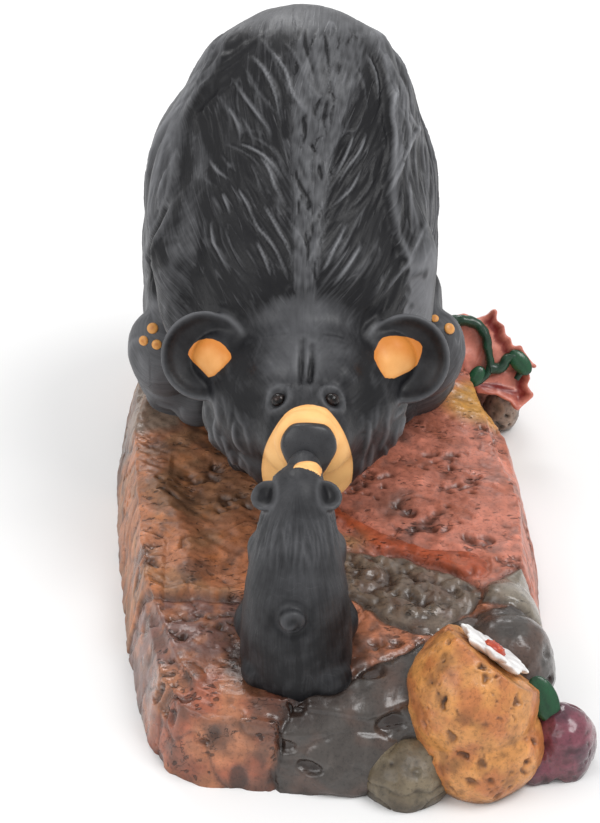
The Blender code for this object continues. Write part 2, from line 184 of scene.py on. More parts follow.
def inside_outline(flat: Array, outline: list[tuple[float, float]]) -> Array:
    """Returns how deep flat points are inside a closed outline, negative outside it.

    Args:
        flat: the points, two numbers each.
        outline: the outline's corners.

    Returns:
        The signed distance of each point to the outline.
    """
    corners = np.asarray(outline, float)
    best = np.full(len(flat), np.inf)
    within = np.zeros(len(flat), bool)
    for start, end in zip(corners, np.roll(corners, -1, axis=0)):
        side = end - start
        along = np.clip((flat - start) @ side / (side @ side), 0.0, 1.0)
        best = np.minimum(best, np.linalg.norm(flat - (start + along[:, None] * side), axis=1))
        straddles = (start[1] > flat[:, 1]) != (end[1] > flat[:, 1])
        rise = np.where(abs(side[1]) < 1e-9, 1e-9, side[1])
        crossing = start[0] + (flat[:, 1] - start[1]) * side[0] / rise
        within ^= straddles & (flat[:, 0] < crossing)
    return np.where(within, best, -best)


def rounded(outline: list[tuple[float, float]], rounds: int = 2) -> list[tuple[float, float]]:
    """Returns a closed outline with its corners cut off a number of times."""
    corners = np.asarray(outline, float)
    near, far = 0.78, 0.22
    for _ in range(rounds):
        after = np.roll(corners, -1, axis=0)
        cut = np.stack([corners * near + after * far, corners * far + after * near], axis=1)
        corners = cut.reshape(-1, 2)
    return [tuple(corner) for corner in corners]


def eased(route: list[tuple[float, ...]], times: int = 2) -> Array:
    """Returns an open line with its inner corners cut off a number of times."""
    corners = np.asarray(route, float)
    near, far = 0.75, 0.25
    for _ in range(times):
        start, end = corners[:-1], corners[1:]
        pairs = np.stack([start * near + end * far, start * far + end * near], axis=1)
        cut = pairs.reshape(-1, corners.shape[1])
        corners = np.concatenate([corners[:1], cut[1:-1], corners[-1:]])
    return corners


class Noise:
    """Smooth seeded noise over arrays of points."""

    CELLS = 32
    GAIN = 1.7
    LAYER_SHIFT = 7.3

    def __init__(self, seed: int) -> None:
        """Draws the slopes and the scattered spots of one noise."""
        draw = np.random.default_rng(seed)
        slopes = draw.normal(size=(self.CELLS, self.CELLS, self.CELLS, 3))
        self.slopes = slopes / np.linalg.norm(slopes, axis=-1, keepdims=True)
        self.scatter = draw.random((self.CELLS, self.CELLS, self.CELLS, 4))

    def at(self, points: Array, size: float = 1.0) -> Array:
        """Returns the noise at each point, about -1 to 1, with features of the given size."""
        scaled = points / size
        cell = np.floor(scaled).astype(int)
        inner = scaled - cell
        ease = inner**3 * (inner * (inner * 6.0 - 15.0) + 10.0)
        total = np.zeros(len(points))
        for corner in itertools.product((0, 1), repeat=3):
            step = np.array(corner)
            index = (cell + step) % self.CELLS
            slope = self.slopes[index[:, 0], index[:, 1], index[:, 2]]
            weight = np.where(step, ease, 1.0 - ease).prod(axis=1)
            total += weight * ((inner - step) * slope).sum(axis=1)
        return total * self.GAIN

    def along(self, *parts: Array | float) -> Array:
        """Returns the noise at points given by their three parts."""
        return self.at(np.stack(np.broadcast_arrays(*parts), axis=1))

    def layered(self, points: Array, size: float, layers: int = 3) -> Array:
        """Returns noise with finer layers over it, each half the size and half as strong."""
        total = np.zeros(len(points))
        for layer in range(layers):
            total += self.at(points + self.LAYER_SHIFT * layer, size / 2**layer) / 2**layer
        return total

    def bowls(self, points: Array, size: float, share: float) -> Array:
        """Returns scattered round hollows: 1 in the middle of a hollow, 0 outside them.

        Args:
            points: where to look.
            size: the spacing of the hollows.
            share: the share of the cells that hold one.

        Returns:
            The depth at each point.
        """
        scaled = points / size
        cell = np.floor(scaled).astype(int)
        depth = np.zeros(len(points))
        for corner in itertools.product((-1, 0, 1), repeat=3):
            near = cell + np.array(corner)
            index = near % self.CELLS
            drawn = self.scatter[index[:, 0], index[:, 1], index[:, 2]]
            radius = np.where(drawn[:, 3] < share, 0.22 + 0.3 * drawn[:, 3] / share, 1e-6)
            distance = np.linalg.norm(scaled - (near + drawn[:, :3]), axis=1)
            depth = np.maximum(depth, 1.0 - np.minimum(1.0, distance / radius))
        return depth


# Clay and carved skins.


def meshed(form: bmesh.types.BMesh, name: str) -> bpy.types.Mesh:
    """Turns a form into a mesh and lets the form go."""
    mesh = bpy.data.meshes.new(name)
    form.to_mesh(mesh)
    form.free()
    return mesh


def new_thing(name: str, data: bpy.types.ID) -> bpy.types.Object:
    """Returns a linked object of some data."""
    thing = bpy.data.objects.new(name, data)
    bpy.context.collection.objects.link(thing)
    return thing


class Clay:
    """A lump of clay: masses are pressed on and fused into one skin."""

    def __init__(self, name: str, origin: Point = (0.0, 0.0, 0.0)) -> None:
        """Starts an empty lump whose masses are measured from an origin in the drawing."""
        self.name = name
        self.origin = Vector(origin)
        self.form = bmesh.new()

    def ball(self, centre: Point, radii: Point, turn: Point = (0.0, 0.0, 0.0), fineness: int = 4) -> None:
        """Presses an ellipsoid on.

        Args:
            centre: its middle.
            radii: its three radii.
            turn: degrees about x, y and z.
            fineness: how often the ball is subdivided.
        """
        spin = Euler([math.radians(angle) for angle in turn]).to_matrix().to_4x4()
        place = Matrix.Translation(self.origin + Vector(centre)) @ spin @ Matrix.Diagonal([*radii, 1.0])
        bmesh.ops.create_icosphere(self.form, subdivisions=fineness, radius=1.0, matrix=place)

    def limb(self, stations: list[tuple[Point, float]], steps: int = 8) -> None:
        """Presses a tapered limb on, through (point, radius) stations."""
        for (start, thick), (end, thin) in zip(stations, stations[1:]):
            for share in np.linspace(0.0, 1.0, steps + 1):
                radius = thick + (thin - thick) * share
                self.ball(Vector(start).lerp(Vector(end), share), (radius, radius, radius), fineness=3)

    def cup(self, centre: Point, facing: Point, profile: list[tuple[float, float]]) -> None:
        """Presses a turned hollow form on.

        Args:
            centre: the middle of its rim.
            facing: the direction that its hollow opens to.
            profile: (radius, height) from the middle of the back over the rim into the hollow.
        """
        cup = bmesh.new()
        points = [cup.verts.new((radius, 0.0, height)) for radius, height in profile]
        edges = [cup.edges.new(pair) for pair in zip(points, points[1:])]
        bmesh.ops.spin(cup, geom=points + edges, cent=(0, 0, 0), axis=(0, 0, 1), angle=math.tau, steps=64)
        bmesh.ops.remove_doubles(cup, verts=cup.verts, dist=0.01)
        aim = Vector(facing).to_track_quat("Z", "Y").to_matrix().to_4x4()
        place = Matrix.Translation(self.origin + Vector(centre))
        bmesh.ops.transform(cup, matrix=place @ aim, verts=cup.verts)
        self.form.from_mesh(meshed(cup, "cup"))

    def add(self, mesh: bpy.types.Mesh) -> None:
        """Presses an earlier skin on."""
        self.form.from_mesh(mesh)

    def fuse(self, voxel: float, smoothing: int) -> bpy.types.Mesh:
        """Fuses the masses into one skin.

        Args:
            voxel: the size of a face.
            smoothing: how often the skin is smoothed.

        Returns:
            The skin's mesh.
        """
        bmesh.ops.recalc_face_normals(self.form, faces=self.form.faces)
        lump = new_thing(self.name, meshed(self.form, self.name))
        remesh = lump.modifiers.new("fuse", "REMESH")
        remesh.mode = "VOXEL"
        remesh.voxel_size = voxel
        smoother = lump.modifiers.new("smooth", "SMOOTH")
        smoother.factor = 0.5
        smoother.iterations = smoothing
        return settled(lump)


def thinned(mesh: bpy.types.Mesh, limit: int, keep: Array) -> bpy.types.Mesh:
    """Merges the flattest faces of a mesh until a number of triangles is left.

    Args:
        mesh: the mesh.
        limit: the number of triangles to keep.
        keep: how much each point matters, 0 to 1.

    Returns:
        The lighter mesh, with its attributes.
    """
    count = sum(len(face.vertices) - 2 for face in mesh.polygons)
    if count <= limit:
        return mesh
    lump = new_thing("lump", mesh)
    group = lump.vertex_groups.new(name="free")
    for level in np.unique(np.round(1.0 - keep, 1)):
        rows = np.flatnonzero(np.round(1.0 - keep, 1) == level)
        group.add(rows.tolist(), float(level), "REPLACE")
    thin = lump.modifiers.new("thin", "DECIMATE")
    thin.ratio = limit / count
    thin.vertex_group = "free"
    thin.vertex_group_factor = 0.03
    return settled(lump)


def settled(thing: bpy.types.Object) -> bpy.types.Mesh:
    """Returns a plain mesh of an object as its modifiers leave it, and removes the object."""
    graph = bpy.context.evaluated_depsgraph_get()
    mesh = bpy.data.meshes.new_from_object(thing.evaluated_get(graph), depsgraph=graph)
    bpy.data.objects.remove(thing, do_unlink=True)
    return mesh


class Skin:
    """A mesh being carved and painted, with its points and normals as arrays."""

    def __init__(self, mesh: bpy.types.Mesh) -> None:
        """Reads a mesh."""
        self.mesh = mesh
        self.points = self._read("vertices", "co")
        self.normals = self._read("vertex_normals", "vector")

    def _read(self, group: str, name: str) -> Array:
        """Returns three numbers for each vertex of the mesh."""
        flat = np.empty(len(self.mesh.vertices) * 3)
        getattr(self.mesh, group).foreach_get(name, flat)
        return flat.reshape(-1, 3)

    def spot(self, right: float, above: float) -> tuple[Array, Array]:
        """Finds a place on the skin by where the viewer sees it.

        Args:
            right: millimetres to the right of the target.
            above: millimetres above the target.

        Returns:
            The place and the direction that the skin faces there.
        """
        gap = np.linalg.norm(VIEWER.seen(self.points) - np.array((right, above)), axis=1)
        depth = (self.points - np.array(VIEWER.eye)) @ -TOWARD
        nearest = np.argmin(np.where(gap < 0.6, depth, np.inf))
        return self.points[nearest], self.normals[nearest]

    def carve(self, height: Array) -> None:
        """Moves every point along its normal by a height in millimetres."""
        self.shift(self.normals * height[:, None])

    def shift(self, way: Array) -> None:
        """Moves every point by a vector in millimetres."""
        self.points = self.points + way
        self.mesh.vertices.foreach_set("co", self.points.ravel())
        self.mesh.update()
        self.normals = self._read("vertex_normals", "vector")

    def relax(self, share: Array, rounds: int) -> None:
        """Smooths the skin.

        Args:
            share: how far each point moves toward the mean of its neighbours in a round, 0 to 1.
            rounds: the number of rounds.
        """
        pairs = np.empty(len(self.mesh.edges) * 2, dtype=np.int64)
        self.mesh.edges.foreach_get("vertices", pairs)
        one, other = pairs.reshape(-1, 2).T
        count = np.bincount(pairs, minlength=len(self.points))[:, None]
        start = self.points.copy()
        for _ in range(rounds):
            total = np.stack(
                [
                    np.bincount(one, self.points[other, axis], len(self.points))
                    + np.bincount(other, self.points[one, axis], len(self.points))
                    for axis in range(3)
                ],
                axis=1,
            )
            self.points = self.points + (total / count - self.points) * share[:, None]
        way = self.points - start
        self.points = start
        self.shift(way)

    def number(self, name: str, values: Array) -> None:
        """Keeps a number for each point as an attribute."""
        self.mesh.attributes.new(name, "FLOAT", "POINT").data.foreach_set("value", values.astype(np.float32))

    def vector(self, name: str, values: Array) -> None:
        """Keeps a vector for each point as an attribute."""
        layer = self.mesh.attributes.new(name, "FLOAT_VECTOR", "POINT")
        layer.data.foreach_set("vector", values.astype(np.float32).ravel())

    def colour(self, name: str, values: Array) -> None:
        """Keeps a colour for each point as an attribute."""
        solid = np.concatenate([np.clip(values, 0.0, 1.0), np.ones((len(values), 1))], axis=1)
        layer = self.mesh.attributes.new(name, "FLOAT_COLOR", "POINT")
        layer.data.foreach_set("color", solid.astype(np.float32).ravel())


def finish_piece(name: str, mesh: bpy.types.Mesh, material: bpy.types.Material | None) -> None:
    """Makes a mesh one piece of the figurine, in the solid's frame.

    Args:
        name: the piece's name.
        mesh: its mesh, in the drawing's millimetres.
        material: its finish, or None where the mesh has its own.
    """
    mesh.transform(LAYOUT.placing())
    if material is not None:
        mesh.materials.clear()
        mesh.materials.append(material)
    mesh.shade_smooth()
    piece = new_thing(name, mesh)
    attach(piece, BODY)
    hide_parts(NODE)
    log.info("%s: %d faces", name, len(mesh.polygons))


# Finishes.


class Wiring:
    """A node tree with short ways to add its nodes."""

    tree: bpy.types.NodeTree

    def node(self, kind: str, inputs: dict | None = None, **settings: object) -> Node:
        """Adds a node.

        Args:
            kind: the node's type.
            inputs: values or sockets for its inputs, by name or number.
            settings: its own settings.

        Returns:
            The node.
        """
        node = self.tree.nodes.new(kind)
        for key, value in settings.items():
            setattr(node, key, value)
        for key, value in (inputs or {}).items():
            self.feed(node.inputs[key], value)
        return node

    def feed(self, socket: Socket, value: object) -> None:
        """Links a socket to an input, or sets the input's value."""
        if isinstance(value, bpy.types.NodeSocket):
            self.tree.links.new(value, socket)
        elif isinstance(value, tuple) and len(value) == 3 and socket.type == "RGBA":
            socket.default_value = (*value, 1.0)
        else:
            socket.default_value = value

    def maths(self, operation: str, one: object, other: object = 0.0) -> Socket:
        """Returns the result of a sum on two inputs."""
        return self.node("ShaderNodeMath", {0: one, 1: other}, operation=operation).outputs[0]


class Sheet(Wiring):
    """The node tree of one material."""

    def __init__(self, name: str) -> None:
        """Starts a material with its shader."""
        self.material = bpy.data.materials.new(name)
        self.material.use_nodes = True
        self.tree = self.material.node_tree
        self.shader = self.tree.nodes["Principled BSDF"]

    def give(self, name: str, value: object) -> None:
        """Links a socket to an input of the shader, or sets the input's value."""
        self.feed(self.shader.inputs[name], value)

    def attribute(self, name: str, output: str = "Fac") -> Socket:
        """Returns an attribute of the mesh."""
        return self.node("ShaderNodeAttribute", attribute_name=name).outputs[output]

    def place(self) -> Socket:
        """Returns the piece's own coordinates."""
        return self.node("ShaderNodeTexCoord").outputs["Object"]

    def stretch(self, vector: Socket, scale: Point) -> Socket:
        """Returns coordinates multiplied by three numbers."""
        node = self.node("ShaderNodeVectorMath", {0: vector, 1: scale}, operation="MULTIPLY")
        return node.outputs[0]

    def noise(self, vector: Socket, size: float, detail: float = 3.0, rough: float = 0.55) -> Socket:
        """Returns noise with features of a size in metres, or in the coordinate's own unit."""
        inputs = {"Vector": vector, "Scale": 1.0 / size, "Detail": detail, "Roughness": rough}
        return self.node("ShaderNodeTexNoise", inputs).outputs["Fac"]

    def ramp(self, value: Socket, low: float, high: float, start: float = 0.0, end: float = 1.0) -> Socket:
        """Returns a value mapped from one range to another, held at both ends."""
        inputs = {"Value": value, "From Min": low, "From Max": high, "To Min": start, "To Max": end}
        return self.node("ShaderNodeMapRange", inputs, clamp=True).outputs[0]

    def mix(self, share: object, one: object, other: object, how: str = "MIX") -> Socket:
        """Returns two colours mixed by a share."""
        node = self.node("ShaderNodeMix", data_type="RGBA", blend_type=how)
        self.feed(node.inputs["Factor"], share)
        colours = [socket for socket in node.inputs if socket.type == "RGBA"]
        self.feed(colours[0], one)
        self.feed(colours[1], other)
        return next(socket for socket in node.outputs if socket.type == "RGBA")

    def bump(self, height: Socket, strength: float, distance: float, under: Socket | None = None) -> Socket:
        """Returns a bumped normal, over another one where that is given."""
        inputs = {"Height": height, "Strength": strength, "Distance": distance}
        if under is not None:
            inputs["Normal"] = under
        return self.node("ShaderNodeBump", inputs).outputs[0]


@dataclass(frozen=True)
class FurPaint:
    """Painted fur: a black coat, ridges brushed with grey, and golden patches with crisp edges; the grey also
    carries painted light and shade.
    """

    name: str = "fur paint"
    coat: Colour = rgb(13, 13, 17)
    brushed: Colour = rgb(146, 147, 151)
    gold: Colour = rgb(255, 202, 132)
    gold_shade: Colour = rgb(208, 130, 57)
    hair_width: float = 0.55
    hair_length: float = 7.0
    hair_bump: float = 0.09
    thread_width: float = 3.0
    thread_length: float = 17.0
    thread_light: float = 0.14
    streaks: float = 0.06
    roughness: float = 0.47

    def material(self) -> bpy.types.Material:
        """Returns the finish. It reads the mesh's share of brushed grey (wear with painted light and shade),
        gold, shade, satin, furry and flow.
        """
        sheet = Sheet(self.name)
        flow = sheet.attribute("flow", "Vector")
        hairs = sheet.noise(
            sheet.stretch(flow, (1 / self.hair_width, 1 / self.hair_length, 0.3)), 1.0, detail=2.0
        )
        patches = sheet.noise(sheet.place(), 0.006, detail=4.0)
        grain = sheet.noise(sheet.place(), 0.0005, detail=2.0)
        threads = sheet.noise(
            sheet.stretch(flow, (1 / self.thread_width, 1 / self.thread_length, 1.0)), 1.0, detail=0.0
        )
        apart = sheet.maths("ABSOLUTE", sheet.maths("SUBTRACT", threads, 0.5))
        thread = sheet.ramp(apart, 0.0, 0.035, 1.0, 0.0)
        thread = sheet.maths("MULTIPLY", thread, sheet.ramp(patches, 0.42, 0.62))
        streaks = sheet.ramp(hairs, 0.3, 0.7, -self.streaks, self.streaks)
        streaks = sheet.maths("ADD", streaks, sheet.maths("MULTIPLY", thread, self.thread_light))
        furry = sheet.attribute("furry")
        wear_and_light = sheet.maths("ADD", sheet.attribute("wear_and_light"), sheet.maths("MULTIPLY", streaks, furry))
        wear_and_light = sheet.maths("ADD", wear_and_light, sheet.ramp(patches, 0.3, 0.7, -0.05, 0.05))
        fur = sheet.mix(sheet.ramp(wear_and_light, 0.0, 1.0), self.coat, self.brushed)
        tone = sheet.maths("ADD", sheet.attribute("shade"), sheet.ramp(patches, 0.35, 0.65, -0.1, 0.1))
        golden = sheet.mix(sheet.ramp(tone, 0.0, 1.0), self.gold, self.gold_shade)
        edge = sheet.ramp(sheet.attribute("gold"), -0.06, 0.06)
        sheet.give("Base Color", sheet.mix(edge, fur, golden))
        gloss = sheet.ramp(grain, 0.3, 0.7, self.roughness - 0.05, self.roughness + 0.06)
        gloss = sheet.maths("SUBTRACT", gloss, sheet.ramp(sheet.attribute("satin"), 0.0, 1.0, 0.0, 0.16))
        sheet.give("Roughness", gloss)
        sheet.give("Specular IOR Level", 0.30)
        furry = sheet.maths("MULTIPLY", furry, sheet.maths("SUBTRACT", 1.0, edge))
        strands = sheet.maths("ADD", hairs, sheet.maths("MULTIPLY", thread, 1.6))
        strands = sheet.maths("MULTIPLY", strands, furry)
        under = sheet.bump(strands, 0.75, self.hair_bump * MM)
        sheet.give("Normal", sheet.bump(grain, 0.12, 0.05 * MM, under))
        return sheet.material


@dataclass(frozen=True)
class ResinPaint:
    """Painted resin rock: the washes of the mesh with speckles, fine pits and a varnish."""

    name: str
    speckle: float = 0.22
    speckle_size: float = 0.0009
    rough_low: float = 0.26
    rough_high: float = 0.5
    grit: float = 0.16
    coat: float = 0.0
    pocks: float = 0.0
    pock_size: float = 0.0024
    cut_length: float = 0.009

    def material(self) -> bpy.types.Material:
        """Returns the finish. It reads wash and gloss of the mesh, and pitted where there are pocks."""
        sheet = Sheet(self.name)
        place = sheet.place()
        speckles = sheet.noise(place, self.speckle_size, detail=4.0, rough=0.7)
        clouds = sheet.noise(place, 0.004, detail=5.0, rough=0.62)
        wash = sheet.attribute("wash", "Color")
        dark = sheet.ramp(speckles, 0.34, 0.5, 1.0 - self.speckle * 1.6, 1.0)
        light = sheet.ramp(clouds, 0.3, 0.72, 1.0 - self.speckle, 1.0 + self.speckle)
        tone = sheet.maths("MULTIPLY", dark, light)
        if self.pocks:
            tone, mark = self.marks(sheet, place, tone)
        grey = sheet.node("ShaderNodeCombineColor", {0: tone, 1: tone, 2: tone}).outputs[0]
        sheet.give("Base Color", sheet.mix(1.0, wash, grey, how="MULTIPLY"))
        shine = sheet.maths("MULTIPLY", sheet.attribute("gloss"), sheet.ramp(clouds, 0.3, 0.7, 0.7, 1.1))
        rough = sheet.ramp(shine, 0.0, 1.0, self.rough_high, self.rough_low)
        sheet.give("Roughness", rough)
        sheet.give("Specular IOR Level", 0.5)
        sheet.give("Coat Weight", sheet.ramp(shine, 0.35, 0.9, 0.0, self.coat))
        sheet.give("Coat Roughness", 0.12)
        under = sheet.bump(clouds, 0.5, self.grit * MM * 1.6)
        if self.pocks:
            under = sheet.bump(sheet.ramp(mark, 0.0, 1.0, 1.0, 0.0), 0.8, 0.5 * MM, under)
        sheet.give("Normal", sheet.bump(speckles, 0.5, self.grit * MM, under))
        return sheet.material

    def marks(self, sheet: Sheet, place: Socket, tone: Socket) -> tuple[Socket, Socket]:
        """Scatters small crisp pocks and incised lines over the rock.

        Args:
            sheet: the material being made.
            place: where the surface is.
            tone: how light the paint is so far.

        Returns:
            The darkened tone, and where the marks are.
        """
        wobble = {"Vector": place, "Scale": 420.0, "Detail": 2.0}
        bend = sheet.node("ShaderNodeTexNoise", wobble).outputs["Color"]
        wander = sheet.stretch(bend, (0.0016, 0.0016, 0.0016))
        bent = sheet.node("ShaderNodeVectorMath", {0: place, 1: wander}, operation="ADD").outputs[0]
        slanted = sheet.stretch(bent, (0.8, 1.9, 1.2))
        cells = sheet.node("ShaderNodeTexVoronoi", {"Vector": slanted, "Scale": 1.0 / self.pock_size})
        chosen = sheet.ramp(sheet.noise(place, 0.011, detail=2.0), 0.55, 0.61)
        pock = sheet.maths("MULTIPLY", sheet.ramp(cells.outputs["Distance"], 0.22, 0.34, 1.0, 0.0), chosen)
        grain = sheet.noise(sheet.stretch(bent, (1.0, 5.0, 2.4)), self.cut_length, detail=2.0)
        near = sheet.maths("ABSOLUTE", sheet.maths("SUBTRACT", grain, 0.5))
        cut = sheet.ramp(near, 0.006, 0.012, 1.0, 0.0)
        cut = sheet.maths("MULTIPLY", cut, sheet.ramp(sheet.noise(place, 0.008, detail=2.0), 0.54, 0.61))
        mark = sheet.maths("MULTIPLY", sheet.maths("MAXIMUM", pock, cut), self.pocks)
        mark = sheet.maths("MULTIPLY", mark, sheet.attribute("pitted"))
        return sheet.maths("MULTIPLY", tone, sheet.ramp(mark, 0.0, 1.0, 1.0, 0.22)), mark


@dataclass(frozen=True)
class EnamelPaint:
    """A thick brushed enamel in one hue, a little darker in its hollows and uneven in its gloss."""

    name: str
    hue: Colour
    shade: Colour
    roughness: float = 0.3
    stroke: float = 0.0012

    def material(self) -> bpy.types.Material:
        """Returns the finish. It reads the attribute shade of the mesh."""
        sheet = Sheet(self.name)
        strokes = sheet.noise(sheet.place(), self.stroke, detail=3.0)
        share = sheet.maths("ADD", sheet.attribute("shade"), sheet.ramp(strokes, 0.3, 0.7, -0.16, 0.16))
        sheet.give("Base Color", sheet.mix(sheet.ramp(share, 0.0, 1.0), self.hue, self.shade))
        rough = sheet.ramp(strokes, 0.3, 0.7, self.roughness - 0.06, self.roughness + 0.1)
        sheet.give("Roughness", rough)
        sheet.give("Normal", sheet.bump(strokes, 0.4, 0.1 * MM))
        return sheet.material


# The coat: where the fur lies and how it runs.


@dataclass(frozen=True)
class Coat:
    """The run of the mother's fur, measured along the slope of her back and round it."""

    centre: Point = (1.0, 140.0, 70.0)
    round: float = 40.0
    slope: tuple[float, float] = (0.574, 0.819)
    spine: tuple = ((-60, -52, -44, -33, -18, -3, 12, 20), (9.0, 8.3, 7.0, 4.5, 2.0, 1.0, 0.2, -0.3))
    spine_half: tuple = ((-58, -45, -28, -12, 14), (12.0, 10.0, 7.0, 4.6, 2.8))
    fold_left: tuple = ((-60, -52, -42, -27, -14, -2, 12), (15.0, 19.5, 23.0, 32.0, 32.5, 38.5, 40.0))
    fold_right: tuple = (
        (-60, -55, -48, -34, -24, -11, 0, 12), (12.0, 14.5, 18.0, 21.5, 23.0, 23.0, 25.0, 30.0),
    )

    def down(self, points: Array) -> Array:
        """Returns how far down the back each point is."""
        rise = points - np.array(self.centre)
        return -(rise[:, 1] * self.slope[0] + rise[:, 2] * self.slope[1])

    def out(self, points: Array) -> Array:
        """Returns how far out from the core of the back each point is, toward the viewer."""
        rise = points - np.array(self.centre)
        return -rise[:, 1] * self.slope[1] + rise[:, 2] * self.slope[0]

    def across(self, points: Array) -> Array:
        """Returns how far to the side of the spine each point is."""
        return points[:, 0] - self.centre[0] - np.interp(self.down(points), *self.spine)

    def around(self, points: Array) -> Array:
        """Returns the distance from the spine, measured round the back."""
        return self.round * np.arctan2(self.across(points), self.out(points) + 4.0)

    def fold(self, points: Array) -> Array:
        """Returns how far each point is beyond the fold of the shoulder on its side."""
        down = self.down(points)
        side = points[:, 0] - self.centre[0]
        reach = np.where(side < 0.0, np.interp(down, *self.fold_left), np.interp(down, *self.fold_right))
        return np.abs(side) - reach

    def streams(self, points: Array) -> tuple[Array, Array]:
        """Returns two measures that stay the same along the fur: inside and outside the folds."""
        around, down = np.abs(self.around(points)), self.down(points)
        inside = around + 0.47 * down + 0.0017 * down**2
        left = around - 0.15 * down + 0.007 * down**2
        right = around - 0.05 * down
        return inside, np.where(points[:, 0] < self.centre[0], left, right)

    def lean(self, points: Array, beyond: Array, sway: Array) -> Array:
        """Returns the angle of the fur from straight down, in radians.

        Args:
            points: where to look.
            beyond: how far each point is beyond its fold, 0 to 1.
            sway: noise that turns the fur a little.

        Returns:
            The angles.
        """
        around, down = self.around(points), self.down(points)
        inside = -(0.47 + 0.0034 * down) * smooth(0.0, 4.0, np.abs(around))
        outside = np.where(points[:, 0] < self.centre[0], 0.15 - 0.014 * down, 0.05)
        slope = inside * (1.0 - beyond) + outside * beyond
        return np.arctan(slope) * np.sign(around) + 0.12 * sway


COAT = Coat()


@dataclass(frozen=True)
class Locks:
    """Carved locks of fur: each starts broad, bends a little and ends in a point."""

    pitch: float = 3.7
    row: float = 6.5
    length: tuple[float, float] = (9.0, 16.0)
    width: tuple[float, float] = (1.5, 2.6)
    share: float = 0.85
    steep: float = 0.42
    seed: int = 5

    def comb(
        self, across: Array, down: Array, lean: Array, wide: tuple[float, float] = (-118.0, 118.0)
    ) -> tuple[Array, Array]:
        """Lays the locks over a coat.

        Args:
            across: how far across the coat each point is.
            down: how far down the coat each point is.
            lean: the angle of the fur at each point, in radians from straight down.
            wide: the first and the last place across the coat.

        Returns:
            The height of the locks from 0 to 1 and how near each point is to a crest, from 0 to 1.
        """
        draw = np.random.default_rng(self.seed)
        order = np.argsort(down)
        a, d = across[order], down[order]
        angles = lean[order]
        relief, crest = np.zeros(len(a)), np.zeros(len(a))
        for base in np.arange(d[0] - self.length[1], d[-1], self.row):
            for place in np.arange(wide[0], wide[1], self.pitch):
                skip, shift, slide, stretch, thick, turn, bend, rise = draw.random(8)
                if skip > self.share:
                    continue
                start = base + (slide - 0.5) * self.row
                middle = place + (shift - 0.5) * self.pitch
                length = self.length[0] + stretch * (self.length[1] - self.length[0])
                width = self.width[0] + thick * (self.width[1] - self.width[0])
                low, high = np.searchsorted(d, (start, start + length))
                if high <= low:
                    continue
                dx, dy = a[low:high] - middle, d[low:high] - start
                near = np.abs(dx) < length
                if near.sum() < 3:
                    continue
                rows = np.flatnonzero(near) + low
                dx, dy = dx[near], dy[near]
                core = np.argmin(np.abs(dx) + np.abs(dy - length * 0.4))
                angle = angles[rows[core]] + (turn - 0.5) * 0.3
                along = (dx * math.sin(angle) + dy * math.cos(angle)) / length
                side = dx * math.cos(angle) - dy * math.sin(angle)
                side = side + (bend - 0.5) * 3.0 * np.sin(np.pi * np.clip(along, 0, 1))
                taper = np.sin(np.pi * np.clip(along, 0.0, 1.0) ** 0.75) ** 0.7
                part = side / (width * (0.15 + taper))
                fall = np.where(part < 0, 1.0 + part / self.steep, 1.0 - part)
                height = np.clip(fall, 0.0, 1.0) ** 0.8 * taper * (0.6 + 0.4 * rise)
                line = bell(side, 0.45) * taper * (0.5 + 0.5 * rise)
                relief[rows] = np.maximum(relief[rows], height)
                crest[rows] = np.maximum(crest[rows], line)
        places = np.argsort(order)
        return relief[places], crest[places]


